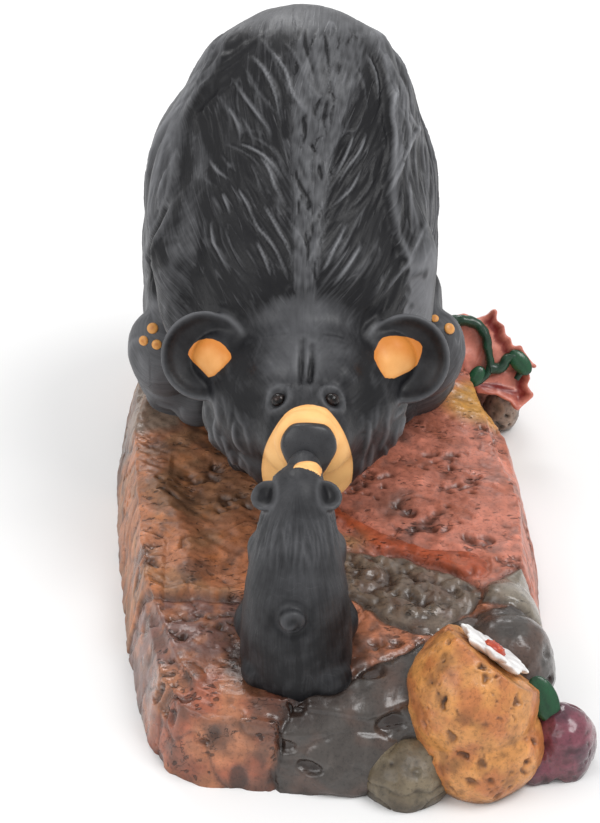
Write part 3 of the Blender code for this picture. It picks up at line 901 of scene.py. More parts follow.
@dataclass(frozen=True)
class DrawnFur:
    """The folds, locks and cracks of the mother's coat that are drawn one by one.

    They lie where the viewer sees them, in millimetres right of and above the target.
    """

    left_fold: tuple = (
        (-12.0, 92.5), (-16.6, 89.4), (-18.5, 81.8), (-21.8, 76.8), (-29.2, 66.1), (-29.0, 63.8),
        (-29.2, 54.0), (-34.0, 41.9), (-36.1, 33.4),
    )
    right_fold: tuple = (
        (12.5, 94.0), (14.5, 92.5), (17.8, 86.6), (21.1, 73.5), (22.1, 63.8), (20.4, 52.6), (21.8, 43.1),
        (25.0, 36.0),
    )
    left_strip: tuple = ((-29.2, 66.0), (-30.4, 52.6), (-33.2, 41.9), (-33.0, 28.9), (-29.8, 15.0))
    crests: tuple = (
        ((-14.8, 77.1), (-11.1, 72.2), (-8.2, 68.5), (-6.3, 65.1)),
        ((-16.7, 72.2), (-14.8, 69.5), (-13.9, 66.1), (-14.3, 63.4)),
        ((-14.3, 63.6), (-10.2, 61.9), (-6.8, 59.2), (-4.1, 54.9)),
        ((-9.0, 60.2), (-6.8, 56.8), (-6.1, 53.4), (-3.8, 50.0)),
        ((-18.4, 51.9), (-17.0, 49.0), (-16.7, 46.6)), ((-20.9, 45.1), (-20.4, 40.2), (-16.5, 32.9)),
        ((-11.3, 47.5), (-10.7, 44.3), (-6.8, 40.2), (-3.8, 34.4), (-2.4, 30.5)),
        ((-8.4, 49.0), (-5.3, 43.2), (-2.9, 39.3), (-1.6, 34.4)),
        ((-14.8, 52.9), (-12.1, 49.0), (-11.1, 45.1)), ((-10.2, 40.2), (-8.2, 36.3), (-6.8, 31.5)),
        ((-21.9, 60.2), (-19.4, 56.8), (-16.5, 54.9)),
        ((-11.1, 84.1), (-7.7, 80.2), (-5.8, 75.8), (-4.5, 68.5)),
        ((-7.2, 86.0), (-3.3, 81.2), (-1.9, 75.3), (2.5, 69.5)),
        ((16.1, 66.5), (14.2, 61.7), (10.3, 56.8), (8.3, 51.9)), ((15.7, 84.1), (18.1, 79.2), (18.8, 72.4)),
        ((12.7, 65.6), (10.3, 59.7), (7.9, 54.9)), ((22.0, 77.3), (20.5, 71.4), (22.0, 64.6), (20.5, 55.8)),
        ((27.8, 68.5), (23.4, 58.7), (20.0, 51.9), (19.1, 49.0)),
        ((29.8, 45.1), (26.9, 38.3), (22.0, 30.5), (18.1, 25.6)), ((8.3, 49.0), (12.2, 52.9), (15.2, 58.7)),
        ((5.4, 33.4), (8.3, 39.3), (11.3, 45.1)), ((31.2, 39.3), (27.8, 33.4), (23.9, 29.5)),
        ((14.2, 39.3), (10.3, 33.4), (7.4, 29.5)),
    )
    fringe: tuple = (
        ((-11.1, 91.9), (-17.0, 88.0), (-22.8, 82.1), (-26.7, 76.3)),
        ((-8.2, 92.8), (-14.1, 89.0), (-19.4, 84.1)),
        ((-16.0, 85.1), (-20.9, 80.2), (-27.7, 72.4), (-31.6, 65.6)),
        ((-17.5, 80.7), (-22.8, 75.3), (-28.7, 68.5)),
        ((-17.0, 76.8), (-20.9, 72.4), (-25.8, 67.5), (-29.2, 64.1)),
        ((-29.7, 65.6), (-32.1, 58.7), (-34.0, 51.9)), ((-25.8, 73.4), (-31.1, 66.5), (-34.5, 60.7)),
        ((-2.4, 94.8), (-8.2, 92.8), (-13.1, 89.9)), ((18.1, 88.0), (23.0, 83.1), (26.9, 75.3), (29.3, 68.5)),
        ((21.0, 81.2), (24.4, 75.3), (23.9, 69.5), (26.9, 62.6)), ((23.0, 72.4), (27.8, 66.5), (30.3, 60.7)),
        ((16.1, 90.9), (20.0, 86.0), (22.0, 80.2)),
    )
    cracks: tuple = (
        ((1.5, 91.9), (1.0, 87.0), (3.0, 81.2), (3.5, 76.8)), ((5.4, 90.9), (6.4, 85.1), (6.9, 78.2)),
        ((6.4, 74.3), (5.4, 68.5), (6.4, 64.6)), ((0.5, 70.4), (1.5, 66.5), (1.0, 63.6)),
        ((-1.4, 58.7), (-0.4, 53.9), (2.5, 50.0), (3.5, 43.2)), ((1.0, 43.2), (2.0, 37.3), (1.5, 33.4)),
        ((4.4, 58.7), (5.4, 53.9)), ((2.5, 63.6), (4.0, 60.7)), ((5.4, 39.3), (4.9, 34.4), (5.9, 30.5)),
        ((-3.3, 75.3), (-1.4, 72.4)),
    )

    def locks(self, seen: Array) -> list[Array]:
        """Returns the locks and cracks that are drawn one by one, the locks with finer ones beside them.

        Args:
            seen: where the viewer sees the points.

        Returns:
            The height and the lit edge of the locks on the back, the same of the fringe, and the cracks.
        """
        drawn = []
        for lines, width, finer_width, spacing, seed, low, dim in (
            (self.crests, 0.56, 0.4, 2.6, 91, 0.4, 0.3),
            (self.fringe, 1.0, 0.6, 2.2, 92, 0.6, 0.6),
        ):
            height, edge = self.strokes(seen, lines, width)
            finer, finer_edge = self.strokes(seen, self.echoes(lines, spacing, seed), finer_width)
            drawn += [np.maximum(height, low * finer), np.maximum(edge, dim * finer_edge)]
        return [*drawn, self.strokes(seen, self.cracks, 0.38)[0]]

    def folds(self, seen: Array) -> tuple[Array, Array, Array]:
        """Returns the folds behind the shoulders: steep toward the spine, gentle outward.

        Args:
            seen: where the viewer sees the points.

        Returns:
            The height from 0 to 1, the lit edge and the shadow inside it.
        """
        out = np.full(len(seen), -20.0)
        for side, line in ((-1, self.left_fold), (1, self.right_fold)):
            u, v = eased(line, 3)[::-1].T
            edge = np.interp(seen[:, 1], v, u)
            here = side * seen[:, 0] > 5.0
            out = np.where(here, side * (seen[:, 0] - edge) * 0.85, out)
        ends = smooth(30.0, 38.0, seen[:, 1]) * smooth(94.0, 87.0, seen[:, 1])
        fold = np.where(out > 0.0, bell(out, 4.5), bell(out, 0.8))
        brow = bell(out - 0.3, 0.75)
        shadow = bell(out + 2.0, 1.5)
        return fold * ends, brow * ends, shadow * ends

    @staticmethod
    def echoes(lines: tuple, spacing: float, seed: int) -> list[Array]:
        """Returns finer strokes beside the drawn ones, each a little shifted and turned.

        Args:
            lines: the drawn strokes.
            spacing: how far the finer ones lie beside them in millimetres.
            seed: the seed of the shifts.

        Returns:
            The lines of the finer strokes.
        """
        draw = np.random.default_rng(seed)
        finer = []
        for line, side in itertools.product(lines, (-1.0, 1.0)):
            route = np.asarray(line)
            shift = np.array((side * spacing * draw.uniform(0.6, 1.3), draw.uniform(-3.5, 3.5)))
            bend = np.linspace(0.0, draw.uniform(-1.2, 1.2), len(route))
            finer.append(route + shift + np.stack([bend, 0.0 * bend], axis=1))
        return finer

    @staticmethod
    def strokes(seen: Array, lines: tuple | list, width: float) -> tuple[Array, Array]:
        """Draws tapered strokes along lines that the viewer sees.

        Args:
            seen: where the viewer sees the points.
            lines: the strokes.
            width: half the width of a stroke in millimetres.

        Returns:
            The height of the strokes from 0 to 1 and how near each point is to a crest, from 0 to 1.
        """
        height, crest = np.zeros(len(seen)), np.zeros(len(seen))
        for line in lines:
            near = np.flatnonzero(np.linalg.norm(seen - np.mean(line, axis=0), axis=1) < 16.0)
            gap, share = from_line(seen[near], eased(line))
            taper = np.sin(np.pi * np.clip(share, 0.01, 0.99) ** 0.72) ** 0.95
            height[near] = np.maximum(height[near], bell(gap, width * (0.4 + 0.6 * taper)) * taper)
            crest[near] = np.maximum(crest[near], bell(gap, 0.34) * taper)
        return height, crest


@dataclass
class MotherBear:
    """The mother: masses of clay as in the solid, carved fur, painted ears, muzzle and toes."""

    voxel: float = 0.55
    triangles: int = 196000
    body_voxel: float = 2.88
    arm_voxel: float = 1.08
    ear_radius: float = 11.25
    ear_thickness: float = 3.6
    lock_depth: float = 1.45
    crack_depth: float = 0.65
    fold_height: float = 1.5
    noise: Noise = field(default_factory=lambda: Noise(11))
    drawn: DrawnFur = DrawnFur()
    paint: FurPaint = FurPaint(name="mother fur paint")

    # Masses, measured from the mother's seat on the rock: centre, radii, turn.
    back: tuple = (
        ((-2.8, 0, 40), (40.2, 45, 43), (0, 0, 0)),
        ((-2.3, -2, 59), (39.3, 41, 39), (0, 0, 0)),
        ((0.2, -3, 74.5), (31.8, 34, 37), (0, 0, 0)),
        ((-1.0, 10, 28), (36, 40, 34), (0, 0, 0)),
        ((-0.5, -20, 62), (34, 30, 31), (0, 0, 0)),
        ((0.0, -35, 54), (30, 28, 27), (0, 0, 0)),
        ((0.5, -53, 43), (24, 21, 18), (20, 0, 0)),
        ((0.0, -36, 24), (23, 22, 28), (0, 0, 0)),
        ((-24.5, 3, 21), (19, 31, 26), (0, 0, 0)),
        ((17.5, 3, 21), (19, 31, 26), (0, 0, 0)),
    )
    skull: tuple = (
        ((1.0, -65, 38), (24, 21, 20.5), (-20, 0, 0)),
        ((1.0, -70, 27), (17.5, 15, 14), (-20, 0, 0)),
        ((1.2, -74, 21), (12.5, 10, 8.5), (0, 0, 0)),
        ((1.6, -81, 39.5), (13.0, 14, 13.2), (-28, 0, 0)),
        ((1.6, -87.5, 41.0), (11.2, 8.5, 10.8), (-28, 0, 0)),
        ((-15.0, -63, 29), (9, 12, 13), (0, -24, 0)),
        ((17.0, -63, 29), (9, 12, 13), (0, 24, 0)),
        ((-6.7, -75.5, 49.5), (6.5, 6, 5.5), (-30, 0, 0)),
        ((9.3, -75.5, 49.5), (6.5, 6, 5.5), (-30, 0, 0)),
        ((-20.0, -61, 45), (7, 6, 8), (0, 0, 0)),
        ((22.0, -61, 45), (7, 6, 8), (0, 0, 0)),
    )
    # The middle of each ear's rim and the way that the ear opens.
    ears: tuple = (
        ((-23.3, -62.5, 47.4), (-0.10, -0.82, 0.55)), ((26.0, -62.5, 46.6), (0.10, -0.82, 0.55)),
    )
    # The middle of an arm, as distance to the side, depth and height.
    arm_line: tuple = (
        (22.0, 137, 101.5), (20.5, 126, 96), (27.0, 116, 80.5), (25.5, 112, 66.5), (15.5, 113, 41.5),
    )

    # Places and outlines as the viewer sees them, in millimetres right of and above the target. A
    # pad's third number is its radius.
    eyes: tuple = ((-5.6, 3.5), (8.3, 3.5))
    muzzle: tuple = (
        (-8.9, -17.0), (-9.2, -12.7), (-8.3, -8.0), (-5.4, -2.8), (-2.6, 0.5), (1.7, 1.9), (5.9, 1.0),
        (8.7, -1.8), (11.1, -6.1), (12.7, -11.7), (12.3, -17.4), (10.6, -21.5), (4.0, -26.0), (-5.0, -24.0),
    )
    nose: tuple = (
        (-2.0, -2.7), (2.1, -2.5), (6.6, -3.0), (8.6, -6.0), (9.0, -9.2), (7.0, -12.6), (5.0, -15.6),
        (1.6, -16.6), (-1.6, -15.0), (-3.6, -11.6), (-4.9, -8.4), (-4.3, -5.4),
    )
    gold_left: tuple = (
        (-26.8, 13.9), (-24.8, 16.7), (-21.5, 17.5), (-18.2, 16.2), (-16.4, 13.4), (-17.6, 11.4),
        (-21.3, 7.6), (-23.4, 9.9), (-25.8, 12.2),
    )
    gold_right: tuple = (
        (17.8, 13.8), (19.0, 17.4), (21.9, 18.1), (26.2, 17.6), (29.1, 16.1), (28.9, 13.7), (27.5, 10.3),
        (21.0, 7.2), (19.1, 10.4),
    )
    pads: tuple = (
        (-35.0, 20.2, 1.5), (-37.7, 16.9, 1.35), (-34.6, 16.0, 1.35), (32.4, 22.4, 1.1), (36.0, 19.9, 1.55),
    )

    def build(self) -> None:
        """Builds the mother with her eyes and her toe pads."""
        skin = Skin(self.mass())
        seen = VIEWER.seen(skin.points)
        nape = np.exp(-(((seen[:, 0] - 0.5) / 17.0) ** 4) - (((seen[:, 1] - 19.5) / 6.0) ** 4))
        skin.relax(nape * (skin.points[:, 1] > 76.0) * (skin.points[:, 2] > 68.0), 50)
        sockets = [skin.spot(*eye) for eye in self.eyes]
        self.carve(skin, sockets)
        ToePads(places=tuple((*skin.spot(u, v), size) for u, v, size in self.pads)).build()
        toward = skin.normals @ TOWARD
        keep = 0.9 * smooth(-0.1, 0.3, toward) * smooth(30.0, 50.0, skin.points[:, 2])
        mesh = thinned(skin.mesh, self.triangles, keep)
        finish_piece("mother_bear", mesh, self.paint.material())
        MotherEyes(places=tuple(tuple(place - aim * 0.7) for place, aim in sockets)).build()

    def mass(self) -> bpy.types.Mesh:
        """Returns the mother's smooth form."""
        torso = Clay("torso", LAYOUT.seat)
        for centre, radii, turn in self.back:
            torso.ball(centre, radii, turn)
        limbs = Clay("limbs", LAYOUT.seat)
        limbs.add(torso.fuse(self.body_voxel, 14))
        for side, reach in ((-1, 0.0), (1, -2.5)):
            blade = (side * (21.0 + reach), -13, 79)
            shoulder = (side * (20.5 + reach), -24, 73.5)
            upper = (side * (27.0 + reach), -34, 58)
            elbow = (side * (25.5 + reach * 0.6), -38, 44)
            wrist = (side * 15.5, -37, 19)
            hand = (side * 11.5, -43, 6)
            stations = [(blade, 8.5), (shoulder, 9.5), (upper, 10.8), (elbow, 10.2), (wrist, 8), (hand, 8.5)]
            limbs.limb(stations)
        body = limbs.fuse(self.arm_voxel, 7)
        legs = Clay("legs", LAYOUT.seat)
        for side, reach in ((-1, 1.2), (1, -0.6)):
            hip = (side * (19 + reach * 2), 4, 26)
            knee = (side * (28.5 + reach * 2), -17, 37)
            ankle = (side * (31 + reach), -11, 10)
            legs.limb([(hip, 18), (knee, 10.5), (ankle, 9)])
            legs.ball((side * (32.5 + reach), -14, 8), (11, 9.5, 11), turn=(0, 0, side * 30))
            legs.ball((side * (35.5 + reach), -24.5, 23), (9.2, 8.2, 12.5), turn=(-8, side * 8, 0))
            legs.ball((side * (26 + reach), -19, 5), (8, 8, 8))
        feet = legs.fuse(self.arm_voxel, 6)
        skull = Clay("skull", LAYOUT.seat)
        for centre, radii, turn in self.skull:
            skull.ball(centre, radii, turn)
        head = skull.fuse(self.arm_voxel * 1.1, 7)
        whole = Clay("mother_bear", LAYOUT.seat)
        for skin in (body, feet, head):
            whole.add(skin)
        whole.ball((1.6, -94.0, 44.2), (7.8, 4.9, 7.6), turn=(-32, 0, 0))
        self.add_ears(whole)
        return whole.fuse(self.voxel, 3)

    def add_ears(self, clay: Clay) -> None:
        """Presses the two cupped ears on."""
        rim = self.ear_radius
        thick = self.ear_thickness
        profile = [
            (0.0, -thick), (rim * 0.7, -thick * 0.8), (rim * 0.93, -thick * 0.25), (rim, thick * 0.2),
            (rim * 0.985, thick * 0.42), (rim * 0.93, thick * 0.5), (rim * 0.86, thick * 0.42),
            (rim * 0.72, -thick * 0.02), (rim * 0.45, -thick * 0.36), (0.0, -thick * 0.5),
        ]
        for centre, facing in self.ears:
            clay.cup(centre, facing, profile)

    def ear_places(self, points: Array) -> list[tuple[Array, Array]]:
        """Returns the distance from each ear's axis and the height over its rim, for each point."""
        places = []
        for centre, facing in self.ears:
            middle = np.array(LAYOUT.seat) + np.array(centre)
            facing = np.array(facing) / np.linalg.norm(facing)
            lift = (points - middle) @ facing
            places.append((np.linalg.norm(points - middle - lift[:, None] * facing, axis=1), lift))
        return places

    def carve(self, skin: Skin, sockets: list[tuple[Array, Array]]) -> None:
        """Carves the fur and the face, and stores what the paint reads.

        Args:
            skin: the smooth form.
            sockets: the place and the direction of each eye.
        """
        points, normals = skin.points, skin.normals
        seen = VIEWER.seen(points)
        facing = normals @ TOWARD
        zones = self.zones(points, seen, facing)
        coat_height, coat_wear_and_light, flow = self.back_fur(points, seen, facing)
        head_height, head_wear_and_light = self.head_fur(points)
        limb_height, limb_wear_and_light = self.limb_fur(points, zones)
        height = coat_height * zones["back"] + head_height * zones["head"] + limb_height * zones["limb"]
        wear_and_light = coat_wear_and_light * zones["back"] + head_wear_and_light * zones["head"] + limb_wear_and_light * zones["limb"]
        fold, brow, shadow = self.drawn.folds(seen)
        shown = self.shown(points, facing, 0.05) * (1.0 - zones["head"])
        height += self.fold_height * fold * shown
        # Painted light on the edge of each shoulder fold and painted shade just inside it.
        wear_and_light += (0.30 * brow - 0.15 * shadow) * shown
        smoothness = 1.0 - np.maximum(zones["ear"], zones["bare"])
        face_height, face_wear_and_light = self.face(points, sockets)
        nose = inside_outline(seen, rounded(self.nose))
        pad = smooth(-0.5, 1.3, nose) * zones["snout"]
        face_height += 1.15 * pad - 0.35 * bell(nose, 0.6) * zones["snout"]
        skin.carve(height * smoothness + face_height)
        wear_and_light = wear_and_light * smoothness + 0.04 * (1.0 - smoothness) + 0.10 * pad + face_wear_and_light
        gold, shade = self.golden_patches(points, seen, facing, zones, nose)
        skin.number("wear_and_light", wear_and_light)
        skin.number("satin", pad)
        skin.number("furry", (1.0 - pad) * (1.0 - 0.8 * zones["ear"]) * (1.0 - 0.72 * zones["head"]))
        skin.number("gold", gold)
        skin.number("shade", shade)
        skin.vector("flow", flow)

    @staticmethod
    def shown(points: Array, facing: Array, least: float) -> Array:
        """Returns where drawn lines show: behind the head, on skin that faces the viewer enough."""
        return smooth(least, least + 0.3, facing) * smooth(84.0, 90.0, points[:, 1])

    def zones(self, points: Array, seen: Array, facing: Array) -> dict[str, Array]:
        """Returns how much each point belongs to each zone of the coat, in shares.

        Args:
            points: the points of the skin.
            seen: where the viewer sees them.
            facing: how far they face the viewer.

        Returns:
            The shares by name.
        """
        x, y, z = points.T
        head_centre = np.array(LAYOUT.seat) + np.array((1.2, -70.0, 38.0))
        head_gap = np.linalg.norm((points - head_centre) / np.array((29.0, 24.0, 27.0)), axis=1)
        head = 1.0 - smooth(0.93, 1.12, head_gap)
        ear = np.zeros(len(points))
        for radius, lift in self.ear_places(points):
            within = 1.0 - smooth(self.ear_radius + 0.6, self.ear_radius + 2.0, radius)
            ear = np.maximum(ear, within * (1.0 - smooth(3.0, 5.5, np.abs(lift + 1.0))))
        head = np.maximum(head, ear)
        snout = ((y < 73.0) & (facing > -0.75) & (z > 36.0)).astype(float)
        bare = smooth(-2.4, 0.4, inside_outline(seen, rounded(self.muzzle))) * snout
        outer = np.abs(x - 1.0)
        arm_gap, _ = from_line(np.stack([outer, y, z], axis=1), self.arm_line)
        rags = 3.0 * self.noise.at(points + 50.0, 8.0) + 1.2 * self.noise.at(points + 70.0, 2.6)
        arm_gap += np.where(x < 0.0, 0.3, 1.25) * rags
        arm = (1.0 - smooth(9.8, 12.6, arm_gap)) * smooth(12.0, 19.0, outer)
        arm *= np.where(x < 0.0, 1.0, smooth(92.0, 82.0, z))
        leg = smooth(26.0, 30.0, outer) * (1.0 - smooth(60.0, 66.0, z)) * (1.0 - smooth(140.0, 150.0, y))
        low = 1.0 - smooth(34.0, 46.0, z)
        limb = np.clip(np.maximum.reduce([arm, leg, low]), 0.0, 1.0) * (1.0 - head)
        return {
            "head": head, "ear": ear, "snout": snout, "bare": bare, "limb": limb,
            "arm": arm * (1.0 - head), "leg": leg, "back": 1.0 - head - limb,
            "toward": smooth(0.12, 0.5, facing),
        }

    def back_fur(self, points: Array, seen: Array, facing: Array) -> tuple[Array, Array, Array]:
        """Carves the back: locks in a V toward the neck, cracks on the spine, folds at both sides.

        Args:
            points: the points of the skin.
            seen: where the viewer sees them.
            facing: how far they face the viewer.

        Returns:
            The height in millimetres, how much grey is brushed on (wear, with painted light and shade), and
            the flow coordinates of the fur.
        """
        noise = self.noise
        down, around, across = COAT.down(points), COAT.around(points), COAT.across(points)
        gap = COAT.fold(points)
        beyond = smooth(-2.0, 3.0, gap)
        spine = 1.0 - smooth(0.65, 1.25, np.abs(across) / np.interp(down, *COAT.spine_half))
        spine *= smooth(-10.0, 5.0, COAT.out(points))
        sway = noise.at(points + 3.0, 18.0)
        lean = COAT.lean(points, beyond, sway)
        relief, crest = Locks(3.6, 8.0, (11.0, 20.0), (1.1, 1.9), 0.8, seed=5).comb(around, down, lean)
        small, small_crest = Locks(2.2, 5.0, (6.0, 12.0), (0.6, 1.0), 0.75, seed=8).comb(around, down, lean)
        cracks, _ = Locks(2.2, 5.2, (3.5, 8.0), (0.32, 0.5), 0.42, 0.9, seed=13).comb(
            across + 0.8 * noise.at(points, 5.0), down, sway * 0.15, (-14.0, 14.0)
        )
        inside, outside = COAT.streams(points)
        stream = np.where(beyond > 0.5, outside, inside) + 1.2 * sway
        tag = np.where(across < 0.0, 3.0, 8.0)
        hair = noise.along(stream / 1.1, down / 9.0, tag)
        broad = noise.along(stream / 6.0, down / 26.0, tag + 0.5)
        nicks = noise.along(across / 0.9, down / 2.6, 6.0)
        shown = self.shown(points, facing, 0.12)
        ridge, edge, sweep, sweep_edge, slit = (part * shown for part in self.drawn.locks(seen))
        cracked = np.maximum(cracks, slit)
        tuft = self.lock_depth * (0.36 * relief * (1.0 - 0.5 * ridge))
        tuft += 0.14 * small + 0.10 * hair + 0.8 * broad
        middle = 0.75 + 0.35 * broad + 0.14 * hair + 0.16 * nicks - self.crack_depth * cracked
        open_coat = 1.0 - spine
        height = tuft * open_coat + middle * spine + 0.85 * ridge + 0.8 * sweep
        cap = smooth(-47.0, -56.0, down)
        rear = smooth(4.0, -16.0, COAT.out(points))
        height = height * (1.0 - 0.8 * cap) * (1.0 - 0.3 * rear)
        # The grey share: dry-brushed crests and spine, with painted light on the top of the back, on the lit
        # edges of the drawn locks and beside the folds, brighter crests on the left, and painted shade in the
        # cracks.
        patchy = np.clip(broad, -1, 1)
        lit = np.where(across < 0.0, 0.16, 0.10)
        dark = -0.05 + lit * crest**2 + 0.03 * small_crest + 0.03 * hair + 0.08 * patchy
        lip = bell(gap - 3.5, 3.4)
        left = 0.02 + 0.17 * lip + 0.10 * smooth(-10.0, -30.0, down)
        loose = np.where(across < 0.0, left, 0.05 + 0.07 * lip)
        loose += 0.34 * crest**1.5 + 0.16 * small_crest + 0.06 * hair + 0.40 * sweep_edge + 0.07 * patchy
        loose += 0.18 * (np.minimum(relief, 0.6) - 0.3)
        light = 0.22 + 0.08 * hair + 0.14 * nicks - 0.42 * cracked + 0.06 * patchy
        wear_and_light = (dark * (1.0 - beyond) + loose * beyond) * open_coat + light * spine + 0.60 * edge
        wear_and_light = wear_and_light * (1.0 - cap) + (0.29 + 0.06 * nicks) * cap
        upright = spine * (1.0 - beyond) > 0.5
        flow = np.stack([np.where(upright, across, stream), down, tag + 9.0 * upright], axis=1)
        return height, wear_and_light, flow

    def head_fur(self, points: Array) -> tuple[Array, Array]:
        """Carves faint strands on the head and strong tufts at the cheeks.

        Args:
            points: the points of the skin.

        Returns:
            The height in millimetres and how much grey is brushed on, with painted shade at the temples.
        """
        noise = self.noise
        down = COAT.down(points)
        x_side = points[:, 0] - 1.2
        sway = noise.at(points + 21.0, 9.0)
        lean = -np.sign(x_side) * 0.22 * smooth(2.0, 9.0, np.abs(x_side)) + 0.15 * sway
        relief, crest = Locks(2.7, 5.5, (7.0, 13.0), (1.0, 1.7), 0.9, seed=21).comb(
            x_side, down, lean, (-40.0, 40.0)
        )
        swept = x_side * np.cos(lean) - down * np.sin(lean)
        hair = noise.along(swept / 1.0, down / 7.0, 9.0)
        cheek = smooth(10.0, 17.0, np.abs(x_side)) * smooth(68.0, 58.0, points[:, 2])
        forehead = smooth(71.0, 76.0, points[:, 2]) * smooth(66.0, 74.0, points[:, 1])
        nape = smooth(84.0, 92.0, points[:, 1])
        height = (0.05 + 0.85 * cheek + 0.35 * nape) * (relief - 0.2) + 0.08 * hair
        # Brushed grey on the cheek tufts and the nape, lighter in the middle of the forehead; the sunken
        # temples are painted darker as painted shade.
        middle = bell(x_side, 9.0)
        temple = bell(np.abs(x_side) - 15.5, 4.5) * smooth(62.0, 66.0, points[:, 2])
        wear_and_light = 0.06 + 0.04 * hair + 0.50 * cheek * crest + 0.19 * forehead * middle + 0.08 * nape * crest
        wear_and_light -= 0.08 * temple
        height -= 0.9 * temple
        return height, wear_and_light

    def limb_fur(self, points: Array, zones: dict[str, Array]) -> tuple[Array, Array]:
        """Carves the limbs: nearly smooth arms, and tufts where the legs meet the rock.

        Args:
            points: the points of the skin.
            zones: the shares of the coat's zones.

        Returns:
            The height in millimetres and how much grey is brushed on, with painted light on the arms.
        """
        noise = self.noise
        z = points[:, 2]
        around = 30.0 * np.arctan2(points[:, 0] - 1.0, 118.0 - points[:, 1])
        sway = noise.at(points + 31.0, 10.0)
        relief, crest = Locks(2.9, 5.5, (7.0, 13.0), (1.1, 1.9), 0.9, seed=31).comb(
            around + sway, -z, 0.1 * sway, (-96.0, 96.0)
        )
        hair = noise.along(around / 1.2, z / 8.0, 5.0)
        tufts = smooth(40.0, 27.0, z)
        height = (0.25 + 0.75 * tufts) * (relief - 0.2) + 0.10 * hair + 0.25 * noise.at(points, 8.0)
        arm = zones["arm"]
        height = height * (1.0 - 0.75 * arm)
        wear_and_light = 0.10 + 0.04 * hair + (0.12 + 0.26 * tufts) * crest
        # A lighter strip down the outer left arm and a lighter top of the right arm where it faces the
        # viewer: painted light. The left leg is brushed lighter than the right.
        gap, share = from_line(VIEWER.seen(points), eased(self.drawn.left_strip))
        strip = bell(gap, 1.4 + 2.8 * share)
        high = smooth(50.0, 64.0, z) * zones["toward"]
        side = np.where(points[:, 0] < 0.0, 0.12 + 0.24 * strip, 0.18 + 0.42 * high)
        wear_and_light += np.where(points[:, 0] < 0.0, 0.24, 0.12) * zones["leg"]
        wear_and_light = wear_and_light * (1.0 - arm) + (side + 0.08 * noise.at(points, 5.0) + 0.05 * hair) * arm
        return height, wear_and_light

    def face(self, points: Array, sockets: list[tuple[Array, Array]]) -> tuple[Array, Array]:
        """Carves the slots between the brows, the wrinkles beside them and the sockets of the eyes.

        Args:
            points: the points of the skin.
            sockets: the place and the direction of each eye.

        Returns:
            The height in millimetres and the change of the brushed grey, which here paints light and shade.
        """
        height = np.zeros(len(points))
        wear_and_light = np.zeros(len(points))
        slots = (
            [(0.7, 79.5, 80.2), (0.5, 73.5, 77.4), (0.3, 68.0, 74.6)],
            [(2.7, 78.0, 79.6), (2.8, 73.5, 77.4), (2.2, 67.0, 74.0)],
        )
        for route in slots:
            gap, share = from_line(points, route)
            taper = np.sin(np.pi * np.clip(share, 0.12, 0.9))
            line = bell(gap, 0.75) * taper
            height -= 1.5 * line
            # Darker in the slots as painted shade, lighter just beside them as painted light.
            wear_and_light -= 0.4 * line
            wear_and_light += 0.10 * bell(gap - 1.5, 0.6) * taper
        stem, _ = from_line(points, [(1.2, 70.0, 75.6), (1.3, 66.5, 73.8)])
        height -= 0.5 * bell(stem, 0.6)
        for side, count in ((-1, 7), (1, 4)):
            for row in range(count):
                y = 82.0 - row * 1.75
                z = 79.8 - row * 0.66
                start = 1.4 + side * (4.6 + 0.35 * row)
                gap, _ = from_line(points, [(start, y, z), (start + side * 4.2, y + 0.5, z - 1.0)])
                line = bell(gap, 0.42)
                height -= 0.36 * line
                # Darker in the wrinkles: painted shade.
                wear_and_light -= 0.10 * line
        for place, _ in sockets:
            gap = np.linalg.norm(points - place, axis=1)
            height -= 0.9 * bell(gap, 2.4)
            ring = bell(gap - 3.3, 0.8)
            height += (0.65 + 0.3 * self.noise.at(points, 1.6)) * ring
            # The raised lids round the eyes are painted lighter: painted light.
            wear_and_light += 0.16 * ring
        for radius, lift in self.ear_places(points):
            rim = bell(radius - self.ear_radius * 0.97, 0.7) * bell(lift - 1.5, 1.4)
            # The ear rims are painted lighter: painted light.
            wear_and_light += 0.30 * rim
        return height, wear_and_light

    def golden_patches(
        self, points: Array, seen: Array, facing: Array, zones: dict, nose: Array
    ) -> tuple[Array, Array]:
        """Lays out the golden muzzle and ear patches as the viewer sees them.

        Args:
            points: the points of the skin.
            seen: where the viewer sees the points.
            facing: how far they face the viewer.
            zones: the shares of the coat's zones.
            nose: how deep each point is inside the outline of the nose.

        Returns:
            How deep each point is inside a golden patch, negative outside, and the tone of the gold, which
            carries painted shade and light.
        """
        ring = np.minimum(inside_outline(seen, rounded(self.muzzle)), -nose)
        ring = np.where(zones["snout"] > 0.5, ring, -5.0)
        left = inside_outline(seen, rounded(self.gold_left, 1))
        right = inside_outline(seen, rounded(self.gold_right, 1))
        ears = np.where((facing > 0.1) & (points[:, 1] > 76.0), np.maximum(left, right), -5.0)
        ears = np.minimum(ears, 5.0 * (zones["head"] - 0.25))
        rim = np.maximum(bell(ring, 0.5), bell(ears, 0.5))
        # The gold's tone is painted shade and light: darker along the patches' edges and over the top of the
        # ear patches, lighter toward the bottom of the muzzle and in the middle of the ear patches.
        shade = 0.17 - 0.15 * smooth(-8.0, -15.0, seen[:, 1]) + 0.30 * rim
        glow = np.minimum(*[np.hypot(seen[:, 0] - u, seen[:, 1] - 12.0) for u in (-21.5, 22.0)])
        shade += (0.45 * smooth(0.5, 5.5, glow) * smooth(9.0, 14.0, seen[:, 1]) + 0.42) * (ears > -1.0)
        return np.maximum(ring, ears), shade


